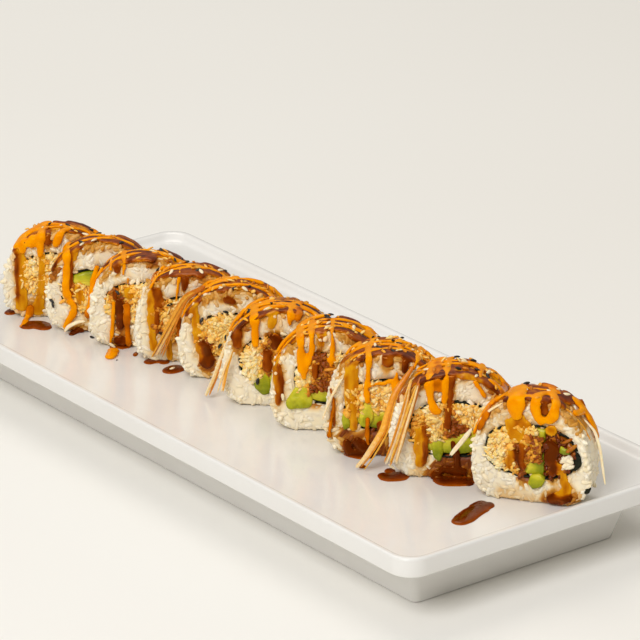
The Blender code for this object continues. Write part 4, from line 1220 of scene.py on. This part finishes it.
# Strands of crab stick: slice, width and thickness, tone, places (across, out, up), and finer strands beside it.
SHREDS = (
    ("1", "b", 1.5, 0.9, 0.0, ((-14.5, 3.0, 0.9), (-12.6, 3.0, 3.4), (-9.0, 3.2, 5.4), (-6.0, 3.4, 5.8)), 0),
    ("2", "e", 2.8, 1.2, 0.72, ((-11.4, -5.0, 35.2), (-19.0, -8.0, 29.6), (-23.4, -10.0, 21.0), (-27.5, -12.5, 12.0),
                                (-31.5, -13.0, 3.5)), 4),
    ("3", "f", 1.2, 0.9, 0.15, ((-20.5, -1.5, 24.5), (-22.8, -2.5, 17.0), (-25.8, -4.2, 8.3), (-29.0, -6.3, 0.9)), 2),
    ("4", "f", 1.1, 0.9, 0.6, ((-17.5, 3.0, 23.5), (-20.0, 3.0, 16.0), (-22.0, 3.0, 6.5)), 2),
    ("5", "i", 2.6, 1.2, 0.62, ((-14.5, -14.0, 37.0), (-20.8, -9.0, 28.8), (-23.2, -6.5, 22.0), (-25.0, -4.0, 15.5),
                               (-31.0, -4.0, 5.5), (-34.5, -5.0, 1.0)), 2),
    ("6", "i", 1.6, 1.0, 0.3, ((-15.0, -6.0, 35.2), (-15.8, 0.5, 34.0), (-16.6, 3.2, 30.5), (-18.4, 3.2, 23.0),
                               (-21.0, 3.2, 13.5), (-23.6, 2.8, 6.0)), 2),
    ("7", "i", 1.8, 1.0, 0.8, ((-11.6, -4.0, 37.2), (-12.4, 1.5, 36.0), (-13.6, 3.2, 31.5), (-16.2, 3.4, 22.0),
                               (-18.4, 3.4, 13.0), (-20.0, 3.0, 6.5)), 2),
    ("8", "j", 1.8, 1.1, 0.0, ((-21.0, 0.0, 25.5), (-25.0, -0.5, 19.5), (-29.5, -1.5, 13.5)), 1),
)
LOOSE_STRANDS = (
    ("h", 0.9, 0.6, 0.1, ((-15.5, 0.8, 30.5), (-18.6, 1.8, 25.5), (-21.0, 2.0, 20.0), (-22.8, 2.2, 14.5))),
    ("j", 0.9, 0.7, 0.1, ((-18.5, 0.6, 29.0), (-14.5, 0.4, 33.5), (-10.0, 0.0, 36.6))),
    ("j", 1.1, 0.8, 0.0, ((17.0, -8.0, 30.5), (21.0, -8.0, 26.5), (23.0, -8.2, 20.0), (24.0, -8.4, 13.0),
                          (25.2, -8.0, 6.5))),
    ("j", 0.8, 0.6, 0.5, ((8.0, -3.0, 37.8), (13.0, -3.6, 34.6), (17.6, -4.4, 29.4), (20.4, -5.0, 24.0))),
)


def strand(piece, path, wide, thick):
    """Closed ribbon of crab stick along places on a slice."""
    points = np.array(path, float)
    track = pick(np.linspace(0, 1, 40), np.linspace(0, 1, len(points)), points)
    relax(track, 6)
    places = piece.world(track)
    places[:, 2] = np.maximum(places[:, 2], FLOOR + thick / 2 + 0.1)
    normals = np.tile(piece.axes[1] + (0, 0, 0.5), (len(places), 1))
    width = wide * np.array((0.5, 1.0, 1.0, 0.9, 0.5))
    place, normal, wide, want = resample(places, normals, width, STRAND_STEP)
    return strip(place, normal, wide, want, thick / 2, thick / 2, 8)


def shreds(mat, rng):
    """Strands of crab stick that hang by the slices, most a little off them, and finer ones beside them."""
    for name, owner, wide, thick, tone, path, beside in SHREDS:
        piece = SLICES[owner]
        verts, faces = strand(piece, path, wide, thick)
        share = np.linspace(0, 1, len(verts))
        item = make("crab_strand_" + name, keep_inside(piece, verts), faces, mat,
                    {"tone": np.clip(tone * (1.15 - 0.95 * share), 0, 1)})
        settle(item, "shred", "shred_" + name)
        for number in range(beside):
            shift = np.array((rng.uniform(-1, 1) * (0.4 * wide + 1.0), rng.uniform(0.1, 0.8), rng.uniform(-0.3, 0.8)))
            spread_out = np.linspace(0.1, 1.5, len(path))[:, None]
            first = int(rng.integers(0, 2)) if len(path) > 3 else 0
            fine = (np.array(path) + shift * spread_out)[first:]
            verts, faces = strand(piece, fine, rng.uniform(0.7, 1.0), 0.6)
            item = make("fine_strand_%s_%d" % (name, number), keep_inside(piece, verts), faces, mat,
                        {"tone": np.full(len(verts), rng.uniform(0.0, 0.8) * (1.0 if tone else 0.3))})
            settle(item, "shred")
    for number, (owner, wide, thick, tone, path) in enumerate(LOOSE_STRANDS):
        piece = SLICES[owner]
        verts, faces = strand(piece, path, wide, thick)
        item = make("loose_strand_%d" % number, keep_inside(piece, verts), faces, mat,
                    {"tone": np.full(len(verts), tone)})
        settle(item, "shred")


# Seeds seen in the photograph: slice and pixel.
WHITE_SEEDS = (("g", 283, 396), ("i", 464, 364), ("i", 487, 374), ("i", 503, 374), ("i", 517, 388), ("i", 508, 389),
               ("j", 470, 418), ("f", 284, 333), ("c", 112, 346), ("i", 382, 474), ("d", 172, 371), ("j", 526, 392),
               ("h", 392, 336), ("h", 376, 324), ("b", 86, 236), ("e", 232, 268))
BLACK_SEEDS = (("b", 52, 300), ("b", 53, 304), ("c", 88, 341), ("e", 220, 345), ("e", 226, 311), ("f", 251, 313),
               ("h", 377, 328), ("h", 393, 343), ("h", 402, 338), ("i", 457, 354), ("i", 473, 363), ("i", 493, 375),
               ("i", 512, 385), ("g", 331, 314), ("g", 327, 318), ("h", 369, 320), ("d", 139, 246), ("d", 170, 304),
               ("d", 162, 332), ("e", 202, 320), ("f", 258, 380), ("i", 513, 382), ("c", 118, 292), ("f", 226, 338))


def seeds(mats, rng):
    """White and black sesame seeds, laid where they show and strewn over the tops."""
    form, form_faces = grain_form(5, 8, 0.5, 0.05)
    form[:, 1] *= 1 - 0.35 * (form[:, 0] + 1) / 2
    for sort, seen, size in (("white", WHITE_SEEDS, (1.45, 0.8, 0.42)), ("black", BLACK_SEEDS, (1.35, 0.75, 0.45))):
        places, normals = [], []
        for name, px, py in seen:
            place, normal = lay_point(SLICES[name], skins[name], px, py)
            places.append(place + normal * 1.0)
            normals.append(normal)
        for name, piece in SLICES.items():
            for _ in range(STREWN_SEEDS):
                across = rng.uniform(-0.55, 0.75) * piece.half
                start = Vector(piece.world((across, rng.uniform(-piece.depth + 1.5, -1.5), 60.0)))
                place, normal, _, _ = skins[name].ray_cast(start, Vector((0, 0, -1)))
                if place is not None:
                    normal = normal if normal.z > 0 else -normal
                    places.append(np.array(place) + np.array(normal) * 0.9)
                    normals.append(np.array(normal))
        places, normals = np.array(places), np.array(normals)
        along, normals = tangents(normals, rng, 0.25)
        sizes = np.array(size) * rng.uniform(0.85, 1.1, (len(places), 1))
        verts, faces = place_forms(form, form_faces, places, along, normals, sizes)
        settle(make(sort + "_sesame", verts, faces, mats[sort]), "rice")


# Pieces of avocado that stand out of the faces: slice, outline in pixels, tone, and how far each stands out.
CHUNKS = (
    ("f", ((253, 374), (262, 371), (270, 378), (271, 394), (262, 396), (254, 388)), 0.55, 0.9),
    ("g", ((303, 379), (308, 386), (313, 399), (311, 409), (287, 410), (285, 403), (293, 391)), 0.35, 1.2),
    ("h", ((344, 411), (350, 414), (350, 428), (344, 431), (341, 421)), 0.5, 0.9),
    ("h", ((362, 400), (372, 402), (374, 418), (368, 430), (359, 426), (359, 410)), 0.3, 1.1),
    ("i", ((435, 436), (443, 440), (444, 452), (440, 463), (433, 458), (431, 446)), 0.6, 0.9),
    ("j", ((530, 476), (539, 475), (545, 481), (541, 488), (532, 490), (527, 484)), 0.5, 1.4),
    ("j", ((560, 447), (567, 450), (570, 455), (563, 456), (558, 452)), 0.8, 1.4),
)


def chunks(mats):
    """Chunks of avocado pushed up between crab and rice on the cut faces."""
    for number, (name, pixels, tone, out) in enumerate(CHUNKS):
        piece = SLICES[name]
        front = Vector(piece.axes[1])
        base = Vector(piece.place) + front * out
        spots = []
        for px, py in pixels:
            ray = sight(px, py)
            spots.append(eye + ray * ((base - eye).dot(front) / ray.dot(front)))
        region = piece.local(np.array(spots))[:, (0, 2)]
        ring = even_steps(region[:, 0], region[:, 1], 36)
        ring = (np.roll(ring, 1, axis=0) + 2 * ring + np.roll(ring, -1, axis=0)) / 4
        rounds = ((0.4, out), (0.8, out - 0.1), (0.95, out - 0.35), (1.0, out - 0.9), (1.0, -3.0), (0.7, -4.0))
        verts, faces = plug(piece, ring, 60, rounds, 0.7, 30 + number)
        local = piece.local(verts)
        share = 1 - (local[:, 2] - local[:, 2].min()) / np.ptp(local[:, 2])
        item = make("avocado_chunk_%s_%d" % (name, number), verts, faces, mats["avocado"],
                    {"tone": tone * (0.5 + 0.9 * share)})
        settle(item, "avocado")


def crumbs(mats, rng):
    """Flakes of crab salad strewn over the sauced tops."""
    form, form_faces = grain_form(3, 6, 0.3, 0.6)
    places, normals = [], []
    for name, number in (("a", 8), ("c", 10), ("d", 14), ("e", 22), ("f", 14), ("g", 22), ("h", 40), ("i", 16),
                         ("j", 5)):
        piece = SLICES[name]
        for _ in range(number):
            spot = over_dome(piece, rng.uniform(-0.6, 0.7), rng.uniform(1.0 - piece.depth, -0.6))
            place, normal, _, _ = skins[name].find_nearest(Vector(piece.world(spot)))
            normal = np.array(normal if normal.z > 0 else -normal)
            places.append(np.array(place) + normal * rng.uniform(0.7, 1.3))
            normals.append(normal)
    along, normals = tangents(np.array(normals), rng, 0.4)
    sizes = np.stack((rng.uniform(0.6, 1.8, len(places)), rng.uniform(0.35, 0.8, len(places)),
                      rng.uniform(0.25, 0.5, len(places))), axis=1)
    verts, faces = place_forms(form, form_faces, np.array(places), along, normals, sizes)
    tone = np.repeat(rng.uniform(0.15, 0.7, len(places)), len(form))
    settle(make("crab_crumbs", verts, faces, mats["crab"], {"tone": tone}), "crab")


def mixed_filling(mats, rng):
    """Sauced crab flakes pushed over the avocado of the near slice, where the two are mixed."""
    piece = SLICES["j"]
    form, form_faces = grain_form(3, 6, 0.3, 0.6)
    number = MIXED_FLAKES
    spots = np.stack((rng.uniform(-1.6, 4.0, number), rng.uniform(0.9, 1.9, number),
                      rng.uniform(16.5, 25.0, number)), axis=1)
    along, normals = tangents(np.tile(piece.axes[1], (number, 1)), rng, 0.4)
    sizes = np.stack((rng.uniform(0.8, 1.9, number), rng.uniform(0.5, 1.0, number),
                      rng.uniform(0.4, 0.7, number)), axis=1)
    verts, faces = place_forms(form, form_faces, piece.world(spots), along, normals, sizes)
    tone = np.repeat(rng.uniform(0.35, 0.95, number), len(form))
    settle(make("mixed_crab_j", verts, faces, mats["crab"], {"tone": tone}), "crab")


def nori_scraps(mats, rng):
    """Folded end of the nori in the near slice, a pinch of rice in the fold, and a loose scrap by its foot."""
    piece = SLICES["j"]
    fold = ((16.2, 0.2, 21.4), (17.2, 0.3, 19.2), (17.2, 0.5, 16.8), (15.6, 0.6, 15.0), (14.4, 0.6, 15.6))
    scrap = ((19.6, -1.2, 9.4), (20.4, -0.6, 7.6), (20.2, -0.2, 5.6))
    for name, path, width in (("fold", fold, (1.2, 2.2, 2.8, 2.2, 1.2)), ("scrap", scrap, (2.0, 3.2, 1.6))):
        places = piece.world(path)
        normals = np.tile(piece.axes[1] + (0, 0, 0.2), (len(path), 1))
        verts, faces = strip(*resample(places, normals, np.array(width), 0.6), 0.32, 0.32)
        verts += piece.axes[1] * (0.7 * waver(verts, 1.3, 8))[:, None]
        settle(make("nori_" + name, keep_inside(piece, verts), faces, mats["nori"]), "nori")
    form, form_faces = grain_form(4, 7, 0.42, 0.12)
    spots = piece.world([(rng.uniform(12.4, 14.8), rng.uniform(0.2, 0.9), rng.uniform(15.4, 18.6)) for _ in range(9)])
    along, normals = tangents(np.tile(piece.axes[1], (9, 1)), rng, 0.3)
    verts, faces = place_forms(form, form_faces, spots, along, normals, np.array(GRAIN) / 2 * np.ones((9, 1)))
    values = {"tone": np.full(len(verts), 0.4), "stain": np.full(len(verts), 0.03)}
    settle(make("rice_pinch_j", verts, faces, mats["rice"], values), "rice")


# Pools on the plate: the slice before which each lies, and its strokes as widths in pixels and pixels.
POOLS = {
    "a": (((6, 9, 8, 5), ((6, 315), (14, 311), (22, 310), (28, 311))),
          ((8, 13, 14, 7), ((22, 329), (31, 325), (39, 325), (49, 330)))),
    "c": (((9, 13, 14, 10), ((110, 341), (117, 343), (123, 346), (129, 344))), ((6, 8), ((110, 346), (118, 348)))),
    "d": (((7, 9, 8, 7), ((145, 364), (153, 361), (161, 361), (168, 364))),
          ((8, 12, 13, 9), ((163, 373), (170, 371), (176, 369), (181, 366)))),
    "h": (((6, 9, 9, 7), ((344, 453), (352, 455), (361, 457), (369, 458))), ((5, 6), ((358, 468), (366, 466)))),
    "i": (((6, 13, 15, 8), ((379, 474), (388, 478), (398, 477), (408, 473))), ((8, 8), ((384, 472), (396, 471))),
          ((9, 15, 15, 11), ((434, 478), (446, 482), (462, 482), (475, 483)))),
    "j": (((7, 14, 15, 15, 10), ((494, 504), (483, 507), (472, 513), (463, 520), (455, 525))),
          ((8, 10, 7), ((486, 502), (478, 506), (470, 509)))),
}


def pools(mats):
    """Pools of glaze on the plate, each domed and rounded by its own skin."""
    for name, strokes in POOLS.items():
        parts = []
        for widths, pixels in strokes:
            line = np.array(pixels, float)
            track = pick(np.linspace(0, 1, 24), np.linspace(0, 1, len(line)), line)
            places = np.array([on_plate(sight(*spot)) for spot in track])
            normals = np.tile((0.0, 0.0, 1.0), (len(places), 1))
            width = np.array(widths) / PIXELS_PER_MM[name] / 0.62
            parts.append(strip(*resample(places, normals, width, SAUCE_STEP), 1.0, 0.6))
        verts, faces = melt("pool_" + name, parts, POOL_CELL)
        verts[:, 2] = np.maximum(verts[:, 2], FLOOR + 0.02)
        dark = np.clip(0.35 + 0.5 * (verts[:, 2] - FLOOR), 0, 1)
        item = make("glaze_pool_" + name, verts, faces, mats["glaze"], {"dark": dark})
        settle(item, "glaze", "sauce_pool_" + name)


def light_and_floor(mat):
    """Pale floor, soft light from the left and above, and a dim warm fill."""
    size = 6000.0
    verts = ((-size, -size, 0), (size, -size, 0), (size, size, 0), (-size, size, 0))
    floor = make("pale_floor", verts, ((0, 1, 2, 3),), mat)
    world = bpy.data.worlds.new("soft_room")
    world.use_nodes = True
    tree = world.node_tree
    place = add(tree, "ShaderNodeTexCoord").outputs["Generated"]
    parts = add(tree, "ShaderNodeSeparateXYZ", (), {"Vector": place})
    sky = add(tree, "ShaderNodeValToRGB", {"stops": ((0.0, "#9a9791"), (0.3, "#b4b0a8"), (0.6, "#f8f6f2"))},
              {"Fac": parts.outputs["Z"]})
    background = tree.nodes["Background"]
    background.inputs["Strength"].default_value = 0.57
    tree.links.new(sky.outputs["Color"], background.inputs["Color"])
    bpy.context.scene.world = world
    for name, place, size, power, shade in (("window", (0.95, -1.75, 1.85), 1.3, 48.0, "#fbfbfd"),
                                            ("ceiling", (-0.9, 0.3, 1.9), 1.3, 9.5, "#fff9f0")):
        data = bpy.data.lights.new(name, "AREA")
        data.shape = "DISK"
        data.size = size
        data.energy = power
        data.color = linear(shade)[:3]
        lamp = bpy.data.objects.new(name, data)
        lamp.location = place
        lamp.rotation_euler = (Vector((0, 0, 0.03)) - Vector(place)).to_track_quat("-Z", "Y").to_euler()
        bpy.context.scene.collection.objects.link(lamp)


def camera():
    """Camera at the photograph's place and angle."""
    data = bpy.data.cameras.new("photo_view")
    data.lens = LENS
    data.sensor_width = SENSOR
    data.clip_end = 30.0
    item = bpy.data.objects.new("photo_view", data)
    item.location = CAMERA_PLACE
    item.rotation_euler = (math.radians(90 - CAMERA_DIP), 0.0, math.radians(CAMERA_TURN))
    bpy.context.scene.collection.objects.link(item)
    bpy.context.scene.camera = item


def main():
    """Dress the plate and its slices."""
    scene = bpy.context.scene
    scene.view_settings.view_transform = "Standard"
    camera()
    light_and_floor(matt_floor())
    crab_stops = ((0.1, "#ffe8b4"), (0.35, "#ffd27a"), (0.6, "#f8b03a"), (0.8, "#cf7d14"), (1.0, "#90450a"))
    strand_stops = ((0.1, "#fbeccb"), (0.35, "#f6d199"), (0.55, "#eeae3c"), (0.75, "#dc8a1c"), (1.0, "#b8600f"))
    soaked_stops = ((0.15, "#d8962c"), (0.5, "#a85a0c"), (0.9, "#6a2a04"))
    mats = {
        "rice": steamed_rice(), "nori": roasted_nori(), "avocado": ripe_avocado(),
        "crab": shredded_crab("shredded_crab_salad", crab_stops, 0.42),
        "soaked": shredded_crab("sauce_soaked_crab", soaked_stops, 0.2),
        "strand": shredded_crab("pulled_crab_stick", strand_stops, 0.3),
        "mayo": spicy_mayonnaise(), "glaze": eel_sauce(),
        "white": sesame("white_sesame_hull", ((0.3, "#e6cf9e"), (0.7, "#f3e4c0"))),
        "black": sesame("black_sesame_hull", ((0.3, "#14100c"), (0.7, "#2c2620"))),
    }
    plate(glazed_porcelain())
    rng = np.random.default_rng(SEED)
    for name, piece in SLICES.items():
        parts, marks = sauces(piece, rng)
        dress_sauces(piece, parts, marks, mats)
        rice(piece, marks, mats, rng)
        nori(piece, mats)
        crab_region, green_region, dark_region = sector(piece)
        crab("crab_salad_" + name, piece, crab_region, CRAB_FLAKES, marks["glaze"], mats["crab"],
             CRAB_TONE.get(name, PLAIN_CRAB), "crab", "crab_" + name, rng)
        avocado(piece, green_region, mats)
        if dark_region is not None:
            crab("soaked_crab_" + name, piece, dark_region, SOAKED_FLAKES, marks["glaze"], mats["soaked"],
                 SOAKED_CRAB, "glazed_crab", "glazed_crab_" + name, rng)
    shreds(mats["strand"], rng)
    chunks(mats)
    seeds(mats, rng)
    pools(mats)
    crumbs(mats, rng)
    nori_scraps(mats, rng)
    mixed_filling(mats, rng)
    bpy.data.materials.remove(plain)


main()
